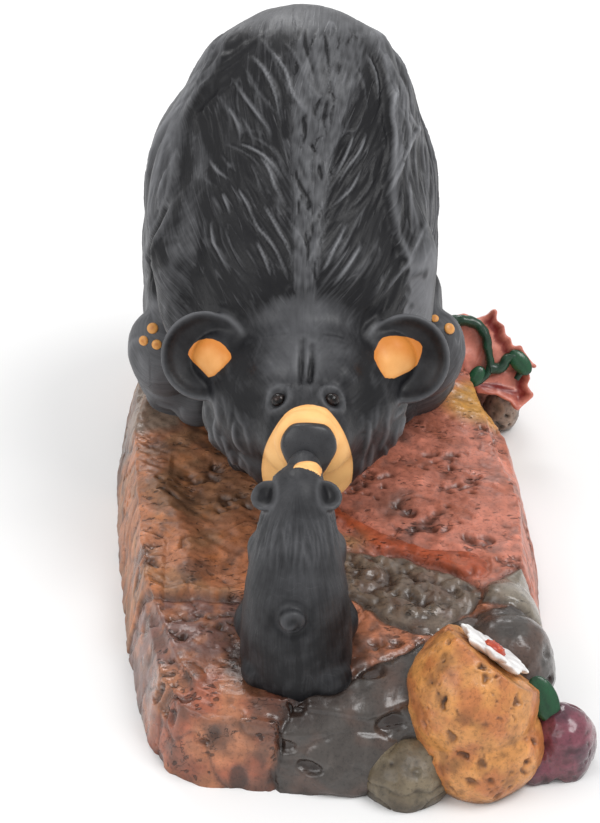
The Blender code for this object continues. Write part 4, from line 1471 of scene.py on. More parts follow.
@dataclass
class MotherEyes:
    """The mother's two glossy eyes."""

    places: tuple
    radius: float = 1.85

    def build(self) -> None:
        """Builds both eyes as one piece."""
        form = bmesh.new()
        for place in self.places:
            spot = Matrix.Translation(place) @ Matrix.Diagonal([1.0, 0.95, 0.95, 1.0])
            bmesh.ops.create_icosphere(form, subdivisions=5, radius=self.radius, matrix=spot)
        finish_piece("mother_eyes", meshed(form, "mother_eyes"), self.finish())

    def finish(self) -> bpy.types.Material:
        """Returns black glass with a brown bloom and a clear varnish."""
        sheet = Sheet("eye gloss")
        bloom = sheet.noise(sheet.place(), 0.0012, detail=3.0)
        tone = sheet.mix(sheet.ramp(bloom, 0.45, 0.75), rgb(10, 9, 10), rgb(58, 42, 36))
        sheet.give("Base Color", tone)
        sheet.give("Roughness", sheet.ramp(bloom, 0.3, 0.7, 0.05, 0.2))
        sheet.give("Specular IOR Level", 0.22)
        sheet.give("Coat Weight", 0.25)
        sheet.give("Coat Roughness", 0.04)
        sheet.give("Normal", sheet.bump(bloom, 0.6, 0.5 * MM))
        return sheet.material


@dataclass
class Cub:
    """The cub: it stands with its back to the viewer and lifts its muzzle to its mother."""

    voxel: float = 0.42
    body_voxel: float = 0.8
    noise: Noise = field(default_factory=lambda: Noise(23))
    paint: FurPaint = FurPaint(
        "cub fur paint", hair_width=0.45, hair_length=9.0, hair_bump=0.03, thread_light=0.03, streaks=0.02
    )
    muzzle: tuple = (
        (-2.0, -14.6), (-1.2, -12.3), (1.9, -11.6), (4.4, -12.4), (5.2, -14.8), (3.6, -17.0), (0.0, -17.0),
    )
    ears: tuple = ((-7.6, 5.6, 44.3), (6.0, 5.6, 44.3))
    eyes: tuple = ((-4.7, 12.2, 46.7), (3.9, 12.2, 46.7))
    snout: Point = (0.9, 14.0, 43.6)
    tail: Point = (-2.1, 16.0, 44.0)

    def build(self) -> None:
        """Builds the cub."""
        skin = Skin(self.mass())
        self.carve(skin)
        finish_piece("cub", skin.mesh, self.paint.material())

    def mass(self) -> bpy.types.Mesh:
        """Returns the cub's smooth form."""
        clay = Clay("cub", LAYOUT.cub_seat)
        seat = ((-0.9, 0.8, 2.0), 13.6)
        hips = ((-0.9, 0.6, 11.0), 13.2)
        waist = ((-0.9, 1.0, 21.0), 12.2)
        shoulders = ((-0.7, 3.4, 31.0), 10.3)
        nape = ((-0.5, 6.4, 40.0), 8.2)
        clay.limb([seat, hips, waist, shoulders, nape], steps=10)
        clay.ball((-0.5, 7.5, 41), (7.4, 8.9, 8.8), turn=(30, 0, 0))
        clay.ball(self.snout, (4.6, 7.0, 4.2), turn=(22, 0, 0))
        for side in (-1, 1):
            shoulder = (-0.7 + side * 7.4, 5, 30)
            elbow = (-0.7 + side * 7.8, 10, 23)
            paw = (-0.7 + side * 5.2, 15, 28)
            clay.limb([(shoulder, 4.4), (elbow, 4.0), (paw, 3.4)], steps=6)
            knee = (-0.9 + side * 9, 8, 5)
            foot = (-0.9 + side * 8.5, 16, 3.5)
            clay.limb([(knee, 6.2), (foot, 4.8)], steps=6)
            clay.ball((-0.9 + side * 7.2, -6.0 - side * 1.2, 1.0), (6.2, 5.2, 5.0))
        whole = Clay("cub", LAYOUT.cub_seat)
        whole.add(clay.fuse(self.body_voxel, 9))
        whole.ball((-2.1, -10.9, 21.5), (3.1, 2.6, 3.1))
        profile = [(0.0, -2.0), (2.6, -1.8), (3.5, -0.9), (3.9, 0.3), (3.5, 1.0), (2.6, 0.5), (0.0, -0.5)]
        for side, centre in zip((-1, 1), self.ears):
            whole.cup(centre, (side * 0.30, -0.42, 0.85), profile)
        return whole.fuse(self.voxel, 4)

    def carve(self, skin: Skin) -> None:
        """Carves the cub's strands, the crease under its tail and the tufts at its neck."""
        noise = self.noise
        points, normals = skin.points, skin.normals
        seen = VIEWER.seen(points)
        x, y, z = points.T
        around = 13.0 * np.arctan2(x + 0.9, 32.0 - y)
        sway = noise.at(points, 11.0)
        neck = bell(z - 60.5, 4.5)
        lean = np.sign(x + 0.5) * (0.10 - 0.5 * neck) * smooth(1.0, 5.0, np.abs(x + 0.5)) + 0.15 * sway
        relief, crest = Locks(2.2, 6.0, (9.0, 16.0), (0.8, 1.3), 0.7, seed=41).comb(
            around, -z, lean, (-42.0, 42.0)
        )
        swept = around + 0.6 * sway
        hair = noise.along(swept / 1.0, z / 12.0, 2.0)
        own = points - np.array(LAYOUT.cub_seat)
        ear_gap = from_spots(own, self.ears)
        ear = 1.0 - smooth(3.6, 4.8, ear_gap)
        low = smooth(30.0, 24.0, z)
        depth = 0.03 + 0.55 * neck * smooth(2.0, 8.0, np.abs(x + 0.5)) + 0.03 * low
        height = (depth * (relief - 0.2) + 0.05 * hair) * (1.0 - ear)
        crease, share = from_line(points, [(-1.2, 16.0, 40.0), (-0.2, 15.0, 34.0), (0.2, 14.4, 25.0)])
        height -= 0.8 * bell(crease, 0.7) * (1.0 - 0.5 * share)
        tail = from_spots(points, [self.tail])
        near_tail = 1.0 - smooth(3.0, 4.6, tail)
        spiral = np.sin(tail * 2.6 + np.arctan2(z - self.tail[2], x - self.tail[0]))
        height += 0.22 * near_tail * spiral - 0.45 * bell(tail - 4.6, 0.8)
        eye_gap = from_spots(own, self.eyes)
        eye = 1.0 - smooth(1.0, 1.5, eye_gap)
        height += 0.35 * bell(eye_gap - 2.0, 0.5) - 0.45 * bell(eye_gap, 1.3)
        skin.carve(height)
        # The grey share: lighter toward the top, painted light from above; brushed on the neck tufts; a
        # painted highlight along the tail's spiral; darker in the crease under the tail and in the ear
        # hollows as painted shade; lighter ear rims on their upper side, painted light.
        upper = 0.02 + 0.08 * smooth(32.0, 55.0, z)
        wear_and_light = upper + (0.01 + 0.20 * neck) * crest + 0.015 * hair + 0.07 * near_tail * (spiral + 0.6)
        wear_and_light -= 0.15 * bell(crease, 1.0)
        hollow = 1.0 - smooth(1.2, 2.8, ear_gap)
        rim = bell(ear_gap - 3.8, 0.6) * (normals[:, 2] > 0.0)
        skin.number("wear_and_light", wear_and_light + 0.12 * rim - 0.2 * hollow - 0.3 * eye)
        skin.number("satin", eye)
        skin.number("furry", (1.0 - 0.8 * ear) * (1.0 - eye))
        gold = inside_outline(seen, rounded(self.muzzle, 1))
        up = normals[:, 2]
        gold = np.where((y > 38.0) & (up > 0.2) & (z > 60.0), gold, -4.0)
        ahead = np.array((0.0, 0.927, 0.375))
        gap = own - np.array(self.snout)
        along = gap @ ahead
        radial = np.linalg.norm(gap - along[:, None] * ahead, axis=1)
        band = np.minimum(np.minimum(along + 2.0, 1.4 + 2.6 * smooth(0.5, -0.2, up) - along), 5.6 - radial)
        gold = np.maximum(gold, np.where((up < 0.35) & (y > 38.0), band, -4.0))
        skin.number("gold", gold)
        skin.number("shade", 0.1 + 0.5 * bell(gold, 0.4))
        skin.vector("flow", np.stack([swept, z, y], axis=1))


# The rock.


@dataclass(frozen=True)
class RockColours:
    """The washes of the rock."""

    terracotta: Colour = rgb(190, 124, 88)
    ochre: Colour = rgb(164, 120, 86)
    orange: Colour = rgb(204, 124, 70)
    mauve: Colour = rgb(136, 98, 88)
    rose: Colour = rgb(206, 128, 106)
    brick: Colour = rgb(166, 94, 68)
    ember: Colour = rgb(176, 80, 44)
    salmon: Colour = rgb(194, 124, 92)
    moss: Colour = rgb(120, 88, 64)
    slate: Colour = rgb(72, 66, 62)
    umber: Colour = rgb(100, 72, 60)
    olive: Colour = rgb(118, 102, 88)
    ash: Colour = rgb(134, 124, 110)
    straw: Colour = rgb(206, 150, 74)
    # The dark brown of the painted shade and shadows, also the wash in the hollows.
    shadow_and_wash: Colour = rgb(42, 26, 20)


@dataclass(frozen=True)
class Grain:
    """The textures of the rock's surface, one value for each point."""

    top: Array
    broad: Array
    rough: Array
    fine: Array
    dents: Array
    crumbs: Array
    strata: Array
    ribs: Array
    patchy: Array
    cracks: Array
    pits: Array
    holes: Array
    gullies: Array
    ovals: Array
    slots: Array


@dataclass
class RockSlab:
    """The slab: broken walls, a stepped top with pits and ledges, and several washes of paint."""

    length: float = 190.0
    width: float = 115.0
    height: float = 22.5
    front: float = 6.0
    middle: float = 6.0
    flare: float = 6.5
    rounding: float = 3.5
    relief: float = 1.5
    voxel: float = 0.56
    triangles: int = 190000
    noise: Noise = field(default_factory=lambda: Noise(37))
    colours: RockColours = RockColours()

    # The stones that are one with the slab: centre, radii, turn.
    lumps: tuple = (
        ((11.0, 17.0, 5.0), (19.5, 13.0, 15.8), (0, 4, 0)),
        ((50.0, 37.0, 12.0), (12.5, 12.0, 14.0), (0, 0, 0)),
        ((48.5, 49.0, 11.0), (11.5, 14.0, 15.5), (0, 8, 0)),
        ((27.0, 54.0, 12.0), (17.0, 12.0, 11.5), (0, 0, 0)),
    )
    # Outlines of the painted parts, seen from above.
    slate: tuple = (
        (-7.0, -6.0), (-6.0, 10.0), (-3.5, 14.5), (1.0, 17.5), (8.0, 20.0), (12.5, 23.0), (17.0, 26.8),
        (24.0, 29.8), (31.0, 37.0), (38.0, 43.0), (45.0, 46.0), (75.0, 42.0), (75.0, -6.0),
    )
    rubble: tuple = (
        (7.0, 72.0), (15.2, 69.6), (25.2, 68.1), (33.0, 64.6), (40.5, 60.2), (44.5, 56.0), (43.2, 48.6),
        (38.0, 43.0), (31.0, 37.5), (23.0, 40.2), (17.2, 48.5), (7.0, 53.0),
    )
    ash: tuple = ((44.0, 46.0), (44.5, 56.0), (50.0, 60.0), (57.0, 64.0), (75.0, 60.0), (75.0, 42.0))
    ember: tuple = (
        (9.0, 90.0), (17.0, 80.0), (25.6, 73.5), (35.7, 70.0), (47.0, 68.5), (46.5, 61.0), (41.0, 60.2),
        (34.0, 65.0), (25.0, 68.4), (19.0, 70.0), (13.0, 78.0), (7.0, 86.0),
    )
    # The crest of the ledge on the left.
    left_crest: tuple = ((-38, 100, 22), (-33, 86, 22), (-29.5, 74, 22), (-28, 60, 22))
    # Groups of short slits: the middle of the group, its half width and half depth.
    slits: tuple = (
        ((37.5, 109.0), (5.0, 4.5)), ((42.0, 97.5), (5.5, 4.5)), ((33.0, 82.5), (5.0, 4.0)),
        ((45.0, 74.5), (5.0, 1.0)), ((53.0, 66.0), (3.0, 1.5)), ((-16.5, 90.0), (4.5, 3.5)),
        ((-35.5, 68.0), (4.5, 4.5)), ((-26.0, 104.0), (6.0, 4.0)), ((20.0, 98.0), (6.0, 5.0)),
        ((-22.0, 42.0), (9.0, 6.0)), ((22.0, 33.5), (4.0, 2.0)), ((-30.0, 22.0), (8.0, 6.0)),
    )

    def build(self) -> None:
        """Builds the slab."""
        skin = Skin(self.mass())
        self.carve(skin)
        keep = 0.8 * smooth(0.0, 0.3, skin.normals @ TOWARD)
        mesh = thinned(skin.mesh, self.triangles, keep)
        cut_at_ground(mesh)
        paint = ResinPaint(name="rock paint", rough_low=0.2, rough_high=0.48, coat=0.35, pocks=0.8)
        finish_piece("rock_slab", mesh, paint.material())

    def outline(self, inset: float) -> list[tuple[float, float]]:
        """Returns the slab's corners counter-clockwise from its front, moved in by an inset."""
        corners = [
            (-0.060, -0.006), (0.100, 0.000), (0.350, 0.030), (0.460, 0.150), (0.490, 0.295),
            (0.500, 0.430), (0.480, 0.616), (0.420, 0.730), (0.390, 0.837), (0.320, 0.958),
            (0.170, 1.000), (-0.230, 1.000), (-0.390, 0.970), (-0.490, 0.810), (-0.500, 0.626),
            (-0.473, 0.453), (-0.438, 0.268), (-0.378, 0.092), (-0.325, 0.032), (-0.262, 0.008),
        ]
        half = self.front + self.length / 2
        width = self.width - 2 * inset
        length = self.length - 2 * inset
        return [(self.middle + u * width, half + (v - 0.5) * length) for u, v in corners]

    def mass(self) -> bpy.types.Mesh:
        """Returns the slab's smooth form, which reaches a little below the ground."""
        form = bmesh.new()
        levels = ((-2.0, 0.0), (self.height * 0.5, self.flare * 0.45), (self.height, self.flare))
        rings = [[form.verts.new((x, y, z)) for x, y in self.outline(inset)] for z, inset in levels]
        for lower, upper in zip(rings, rings[1:]):
            for index, corner in enumerate(lower):
                after = (index + 1) % len(lower)
                form.faces.new((corner, lower[after], upper[after], upper[index]))
        form.faces.new(list(reversed(rings[0])))
        lid = form.faces.new(rings[-1])
        bmesh.ops.bevel(form, geom=list(lid.edges), offset=self.rounding, segments=3, affect="EDGES")
        clay = Clay("rock_slab")
        clay.add(meshed(form, "slab"))
        for centre, radii, turn in self.lumps:
            clay.ball(centre, radii, turn)
        return clay.fuse(self.voxel, 7)

    def regions(self, points: Array) -> dict[str, Array]:
        """Returns the shares of the slab's painted parts, and how near their borders are."""
        x, y, _ = points.T
        wave = [self.noise.layered(points + shift, 9.0, 3) for shift in (40.0, 55.0)]
        flat = np.stack([x + 1.1 * wave[0], y + 1.1 * wave[1]], axis=1)
        names = ("slate", "rubble", "ash", "ember")
        depths = {name: inside_outline(flat, rounded(getattr(self, name), 1)) for name in names}
        zone = {name: smooth(-0.35, 0.35, depth) for name, depth in depths.items()}
        zone["crumbs"] = smooth(0.3, 3.5, depths["rubble"] - 0.35 * np.maximum(47.0 - y, 0.0))
        zone["seam"] = np.max([bell(depths[name], 0.95) for name in ("slate", "rubble", "ash")], axis=0)
        zone["ember_line"] = bell(depths["ember"], 0.9)
        zone["stone"] = np.maximum.reduce([zone["slate"], zone["rubble"], zone["ash"]])
        left_line = 54.5 - 0.12 * (x + 28.0) + wave[0] * 1.6
        left = 1.0 - smooth(-3.0, 5.0, x + 2.0 * wave[1])
        zone["left"] = left
        zone["left_low"] = left * (1.0 - smooth(-0.6, 0.6, y - left_line)) * (1.0 - zone["slate"])
        zone["lip"] = left * bell(y - left_line - 1.2, 1.2)
        zone["lip_line"] = left * bell(y - left_line + 0.6, 0.7)
        return zone

    def carve(self, skin: Skin) -> None:
        """Carves the slab and washes it with paint."""
        points, normals = skin.points, skin.normals
        zone = self.regions(points)
        grain = self.grain(points, normals, zone)
        skin.carve(self.heights(grain, zone))
        lift = self.ledges(points, zone)
        skin.shift(np.stack([0 * lift, 0 * lift, lift], axis=1))
        cavity = self.cavity(grain, zone)
        ridge = smooth(0.1, 0.9, 0.5 * grain.strata + 0.4 * grain.rough + 0.5 * grain.fine)
        skin.colour("wash", self.wash(points, normals, zone, cavity, ridge))
        gloss = 0.3 + 0.35 * zone["left_low"] + 0.35 * smooth(0.0, 0.5, self.noise.at(points + 2.0, 20.0))
        gloss += 0.3 * cavity + 0.6 * zone["stone"] - 0.35 * zone["rubble"]
        skin.number("gloss", np.clip(gloss, 0.0, 1.0))
        skin.number("pitted", 1.0 - 0.95 * zone["slate"])

    def grain(self, points: Array, normals: Array, zone: dict[str, Array]) -> Grain:
        """Returns the textures of the rock's surface.

        Args:
            points: the points of the skin.
            normals: their normals.
            zone: the shares of the slab's regions.

        Returns:
            The textures, one value for each point.
        """
        noise = self.noise
        top = smooth(0.35, 0.85, normals[:, 2])
        slanted = points @ self.strata_turn().T
        holes = noise.bowls(points / np.array((1.0, 1.0, 1.6)) + 17.0, 7.0, 0.3)
        return Grain(
            top=top,
            broad=noise.at(points, 14.0),
            rough=noise.at(points + 5.0, 4.4),
            fine=noise.layered(points + 8.0, 2.4, 2),
            dents=noise.at(points + 7.0, 6.0),
            crumbs=noise.layered(points + 2.0, 3.2, 3),
            strata=noise.at(slanted / np.array((2.2, 11.0, 8.0))),
            ribs=noise.at(slanted / np.array((1.1, 6.0, 5.0)) + 20.0),
            patchy=smooth(-0.3, 0.5, noise.at(points + 33.0, 16.0)),
            cracks=creases(noise.at(points + 90.0, 9.0), 0.055)
            * smooth(0.0, 0.35, noise.at(points + 66.0, 11.0)),
            pits=noise.bowls(slanted / np.array((0.8, 2.4, 1.0)), 2.4, 0.3)
            * smooth(0.0, 0.4, noise.at(points + 60.0, 13.0)),
            holes=holes * smooth(0.2, 0.5, 1.0 - top),
            gullies=creases(noise.at(points / np.array((1.0, 1.0, 2.4)) + 90.0, 9.0), 0.10),
            ovals=noise.bowls(points / np.array((1.7, 1.0, 1.0)) + 5.0, 6.0, 0.55) * zone["slate"],
            slots=self.slots(points) * (1.0 - zone["stone"]),
        )

    def heights(self, grain: Grain, zone: dict[str, Array]) -> Array:
        """Returns the relief in millimetres: strata, pits, cracks, rubble and the seams of the parts."""
        wall, bare, slate = 1.0 - grain.top, 1.0 - zone["stone"], zone["slate"]
        waves = 0.6 * grain.broad * (1.0 - 0.5 * wall) + 0.16 * grain.rough
        relief = self.relief * waves * (1.0 - 0.45 * slate)
        layers = 0.34 * grain.strata + 0.16 * grain.ribs * grain.patchy + 0.24 * grain.fine
        relief += layers * bare * (1.0 - 0.6 * wall) * (1.0 - 0.4 * zone["left_low"])
        relief += zone["crumbs"] * (1.15 * grain.crumbs + 0.6)
        relief += (0.15 * grain.fine + 0.5 * grain.dents + 0.7 * grain.top) * slate
        relief -= (0.95 * smooth(0.0, 0.5, grain.pits) + 0.75 * grain.cracks * grain.top) * bare
        relief -= (0.6 * smooth(0.0, 0.45, grain.holes) + 0.3 * grain.gullies * wall) * bare
        relief -= 1.3 * smooth(0.0, 0.35, grain.ovals) + 1.1 * grain.slots
        return relief - 1.2 * zone["seam"] - 0.6 * zone["lip_line"]

    def ledges(self, points: Array, zone: dict[str, Array]) -> Array:
        """Returns how far the ledges lift each point, and how far the front corner sinks."""
        x, y, z = points.T
        steps = zone["lip"] - 1.4 * zone["left_low"] + 0.9 * zone["ember"]
        steps -= 0.8 * zone["ember_line"] * (1.0 - zone["stone"])
        crest, _ = from_line(points, self.left_crest)
        steps += 1.3 * bell(crest, 4.0) - 0.8 * bell(crest - 8.0, 4.0) * (x > -34)
        slump = -0.021 * np.maximum(27.0 - y, 0.0) ** 2 * zone["slate"] * smooth(34.0, 26.0, x)
        return smooth(6.0, self.height, z) * steps + z / self.height * slump

    @staticmethod
    def cavity(grain: Grain, zone: dict[str, Array]) -> Array:
        """Returns how deep each point lies in a hollow, 0 to 1."""
        depth = smooth(0.0, 0.45, grain.pits) + 0.8 * grain.cracks * grain.top
        depth += smooth(0.05, 0.4, grain.holes) + 0.7 * grain.gullies * (1.0 - grain.top)
        depth += 0.5 * smooth(0.1, 0.8, -0.6 * grain.rough - 0.6 * grain.strata - 0.4 * grain.fine)
        depth = depth * (1.0 - zone["stone"]) + smooth(0.1, 0.5, grain.ovals) + 1.2 * grain.slots
        depth += 0.9 * zone["seam"] + 0.8 * zone["lip_line"]
        return np.clip(depth + zone["crumbs"] * smooth(-0.2, 0.6, -grain.crumbs), 0.0, 1.0)

    def slots(self, points: Array) -> Array:
        """Returns the groups of short dark slits: 1 in a slit, 0 outside them."""
        draw = np.random.default_rng(77)
        total = np.zeros(len(points))
        for (x, y), (wide, deep) in self.slits:
            for _ in range(int(3 + wide * 1.6)):
                shift = draw.uniform(-1, 1, 2) * (wide, deep)
                angle, length = draw.normal(2.9, 0.5), draw.uniform(0.8, 2.4)
                start = np.array((x + shift[0], y + shift[1]))
                end = start + length * np.array((math.cos(angle), math.sin(angle)))
                near = np.flatnonzero(np.abs(points[:, :2] - start).max(axis=1) < 5.0)
                near = near[points[near, 2] > 12.0]
                if len(near):
                    flat = points[near] * np.array((1.0, 1.0, 0.0))
                    gap, _ = from_line(flat, [(*start, 0.0), (*end, 0.0)])
                    total[near] = np.maximum(total[near], bell(gap, draw.uniform(0.45, 0.85)))
        return total

    @staticmethod
    def strata_turn() -> Array:
        """Returns the turn that lays the strata across the slab's length."""
        return np.array(Euler((0.2, 0.1, math.radians(-52))).to_matrix())

    def wash(self, points: Array, normals: Array, zone: dict, cavity: Array, ridge: Array) -> Array:
        """Returns the paint of each point.

        Args:
            points: the points of the skin.
            normals: their normals before the carving.
            zone: the shares of the slab's regions.
            cavity: how deep each point lies in a pit, 0 to 1.
            ridge: how high each point lies on a ridge, 0 to 1.

        Returns:
            A linear colour for each point.
        """
        tint, noise = self.colours, self.noise
        x, y, z = points.T
        clouds = noise.layered(points + 13.0, 13.0, 4)
        flecks = noise.layered(points + 29.0, 5.0, 3)
        washes = noise.layered(points + 49.0, 9.0, 4)
        right = 1.0 - zone["left"]
        cheek = bell(x + 22.0, 15.0) * bell(y - 100.0, 20.0)
        stain = bell(x - 23.0, 6.0) * bell(y - 89.0, 7.0)
        patch = bell(x - 13.0, 4.0) * bell(y - 73.5, 4.0)
        lower = blend(tint.mauve, tint.terracotta, smooth(0.0, 0.6, flecks) * 0.7)
        lower = blend(lower, tint.umber, smooth(0.1, 0.7, washes) * 0.6)
        bright = blend(tint.brick, tint.terracotta, smooth(-0.4, 0.4, clouds))
        bright = blend(bright, tint.umber, smooth(-0.5, 0.6, washes) * 0.8)
        red = blend(tint.rose, tint.brick, smooth(-0.1, 0.7, clouds + 0.5 * flecks) * 0.6)
        grey = smooth(119.0, 124.0, y + 2.0 * flecks) * smooth(-30.0, -34.0, x)
        # Painted shade and shadow: darker at the foot of the walls, in a pool under the mother and round the
        # cub's feet.
        foot = smooth(7.0, 0.5, z) * smooth(0.4, 0.1, normals[:, 2])
        under = 1.0 - smooth(0.80, 1.02, np.hypot((x + 1.0) / 42.0, (y - 146.0) / 42.0))
        beside = 1.0 - smooth(14.5, 18.5, np.hypot(x + 0.9, (y - 29.5) * 0.95))
        coats = (
            (tint.ochre, smooth(-0.2, 0.6, clouds) * 0.8),
            (tint.orange, smooth(0.0, 0.7, flecks) * 0.6),
            (tint.umber, smooth(0.15, 0.7, washes) * 0.7),
            (blend(tint.moss, tint.ochre, smooth(-0.3, 0.5, flecks)), cheek * 0.75),
            (lower, zone["left_low"] * smooth(24.0, 34.0, y)),
            (bright, zone["left"] * smooth(33.0, 22.0, y)),
            (blend(red, tint.mauve, smooth(0.2, 0.8, washes) * 0.7), right),
            (blend(tint.salmon, tint.umber, smooth(-0.1, 0.6, flecks) * 0.7), right * smooth(60.0, 50.0, y)),
            (blend(tint.ash, tint.umber, smooth(-0.5, 0.4, clouds)), grey * 0.8),
            (tint.umber, stain * 0.6),
            (blend(tint.ember, tint.brick, smooth(0.1, 0.7, flecks) * 0.6), zone["ember"] * 0.9),
            (tint.ochre, patch),
            (blend(tint.slate, tint.umber, smooth(0.0, 0.7, clouds) * 0.5), zone["slate"]),
            (blend(tint.olive, tint.umber, smooth(0.0, 0.7, flecks) * 0.5), zone["rubble"]),
            (blend(tint.ash, tint.olive, smooth(0.0, 0.6, clouds) * 0.6), zone["ash"]),
            (tint.straw, smooth(14.0, 6.0, np.hypot(x - 50.0, y - 136.0))),
            (blend(tint.terracotta, tint.mauve, smooth(-0.2, 0.5, clouds)), smooth(150.0, 175.0, y) * 0.8),
            (tint.shadow_and_wash, foot * 0.35),
            (tint.shadow_and_wash, np.maximum(under * 0.5, beside * 0.7)),
        )
        colour = tint.terracotta
        for paint, share in coats:
            colour = blend(colour, paint, share)
        # Lighter on the ridges; the dark brown in the pits, cracks and seams is a wash that also stands in
        # for their shade.
        return blend(colour * (0.92 + 0.32 * ridge)[:, None], tint.shadow_and_wash, cavity * 0.7)


def cut_at_ground(mesh: bpy.types.Mesh) -> None:
    """Cuts a mesh off flat at the ground and closes it."""
    form = bmesh.new()
    form.from_mesh(mesh)
    geometry = form.verts[:] + form.edges[:] + form.faces[:]
    ground = (0.0, 0.0, LAYOUT.low[2])
    cut = bmesh.ops.bisect_plane(form, geom=geometry, plane_co=ground, plane_no=(0, 0, -1), clear_outer=True)
    rim = [edge for edge in cut["geom_cut"] if isinstance(edge, bmesh.types.BMEdge)]
    bmesh.ops.holes_fill(form, edges=rim, sides=0)
    form.to_mesh(mesh)
    form.free()


@dataclass(frozen=True)
class Stone:
    """One stone set beside the slab: balls of clay, how rough it is and its washes."""

    name: str
    origin: Point
    balls: tuple
    colour: Colour
    other: Colour
    # The dark of the hollows and of the foot of the stone, which stands in for their shade.
    dark: Colour = rgb(34, 26, 22)
    lumps: float = 0.9
    lump_size: float = 9.0
    pit_size: float = 4.6
    pit_share: float = 0.4
    pit_depth: float = 0.9
    grain: float = 0.25
    crease: float = 0.0
    gloss: float = 0.5
    coat: float = 0.2
    voxel: float = 0.46
    seed: int = 1
    bed: tuple[Point, Point] | None = None

    def build(self) -> None:
        """Builds the stone."""
        clay = Clay(self.name, self.origin)
        for ball in self.balls:
            clay.ball(*ball)
        skin = Skin(clay.fuse(self.voxel, 3))
        if self.bed is not None:
            self.flatten(skin)
        self.carve(skin)
        cut_at_ground(skin.mesh)
        paint = ResinPaint(name=self.name + " paint", rough_low=0.16, rough_high=0.5, coat=self.coat)
        finish_piece(self.name, skin.mesh, paint.material())

    def flatten(self, skin: Skin) -> None:
        """Presses the stone flat where something lies on it."""
        place, facing = (np.array(part) for part in self.bed)
        facing = facing / np.linalg.norm(facing)
        over = np.maximum((skin.points - place - np.array(self.origin)) @ facing, 0.0)
        skin.shift(-facing * over[:, None] * 0.97)

    def carve(self, skin: Skin) -> None:
        """Carves the stone's lumps and pits and washes it with paint."""
        noise = Noise(100 + self.seed)
        points = skin.points
        lumps = noise.at(points, self.lump_size)
        ripple = noise.layered(points + 4.0, self.lump_size * 0.42, 3)
        warp = points + 1.3 * np.stack([noise.at(points + shift, 3.0) for shift in (1.0, 5.0, 9.0)], axis=1)
        pits = smooth(0.05, 0.5, noise.bowls(warp / np.array((1.0, 1.0, 1.6)), self.pit_size, self.pit_share))
        small = smooth(0.1, 0.6, noise.bowls(warp + 31.0, self.pit_size * 0.42, self.pit_share * 0.5))
        lines = creases(noise.at(points + 70.0, 8.0), 0.05) * self.crease
        sunk = self.pit_depth * (pits + 0.35 * small) + 0.5 * lines
        skin.carve(self.lumps * lumps + self.grain * ripple - sunk)
        wash = blend(self.colour, self.other, smooth(-0.35, 0.6, noise.layered(points + 8.0, 8.0, 4)))
        # Darker in the pits, creases and dips, a wash that also stands in for their shade, and darker toward
        # the ground as painted shade; lighter on the ripples' highs.
        hollow = 0.7 * pits + 0.5 * small + 0.4 * smooth(0.2, 0.9, -ripple) + 0.6 * lines
        wash = blend(wash, self.dark, hollow)
        wash = blend(wash, self.dark, 0.55 * smooth(5.0, 0.5, points[:, 2]))
        wash = wash * (1.0 + 0.14 * np.clip(ripple, -1, 1))[:, None]
        skin.colour("wash", wash)
        skin.number("gloss", np.clip(self.gloss + 0.3 * ripple, 0.0, 1.0))


def stones() -> list[Stone]:
    """Returns the stones at the front right corner and behind the mother's foot."""
    corner, rear = LAYOUT.corner, LAYOUT.rear
    level = (0.0, 0.0, 0.0)
    flower = Flower()
    return [
        Stone("ochre_boulder", corner, (
            ((-22.7, 14, 18.0), (15.5, 17.5, 18.8), level), ((-21.0, 9.6, 8), (15.4, 15.5, 14.0), level),
            ((-25.5, 14.5, 22), (12.6, 12.2, 11.6), level)),
            rgb(206, 142, 80), rgb(186, 116, 68), dark=rgb(66, 38, 24), lumps=0.6, lump_size=12.0,
            pit_size=3.6, pit_share=0.42, seed=2, bed=((-19.1, 17.0, 27.9), flower.facing)),
        Stone("olive_pebble", corner, (
            ((-38.4, 3.2, 3.3), (10.9, 10.3, 9.0), level), ((-34.5, 3.5, 5.5), (6.5, 7.0, 6.8), level)),
            rgb(120, 108, 88), rgb(96, 84, 66), lumps=0.8, lump_size=12.0, pit_depth=0.4, pit_share=0.15,
            crease=0.7, gloss=0.5, seed=13),
        Stone("purple_pebble", corner, (
            ((-1.0, 11.3, 5.5), (8.6, 8.8, 10.6), level), ((-7.0, 8.0, 2.5), (7.0, 6.5, 5.0), level)),
            rgb(124, 64, 78), rgb(82, 42, 56), pit_depth=0.6, pit_share=0.35, gloss=0.85, coat=0.6, seed=4),
        Stone("mottled_stone", rear, (((4.6, 0, 7.5), (6.0, 6.0, 8.4), level),),
              rgb(160, 138, 122), rgb(96, 84, 78), pit_size=2.6, pit_share=0.8, gloss=0.5, seed=9),
        Stone("leaf_stone", rear, (((-1, 7, 11), (10.0, 10, 14.5), (-10, 10, 0)),),
              rgb(150, 96, 80), rgb(96, 66, 58), gloss=0.4, seed=10),
    ]


# Leaf, vine, flower and toe pads.


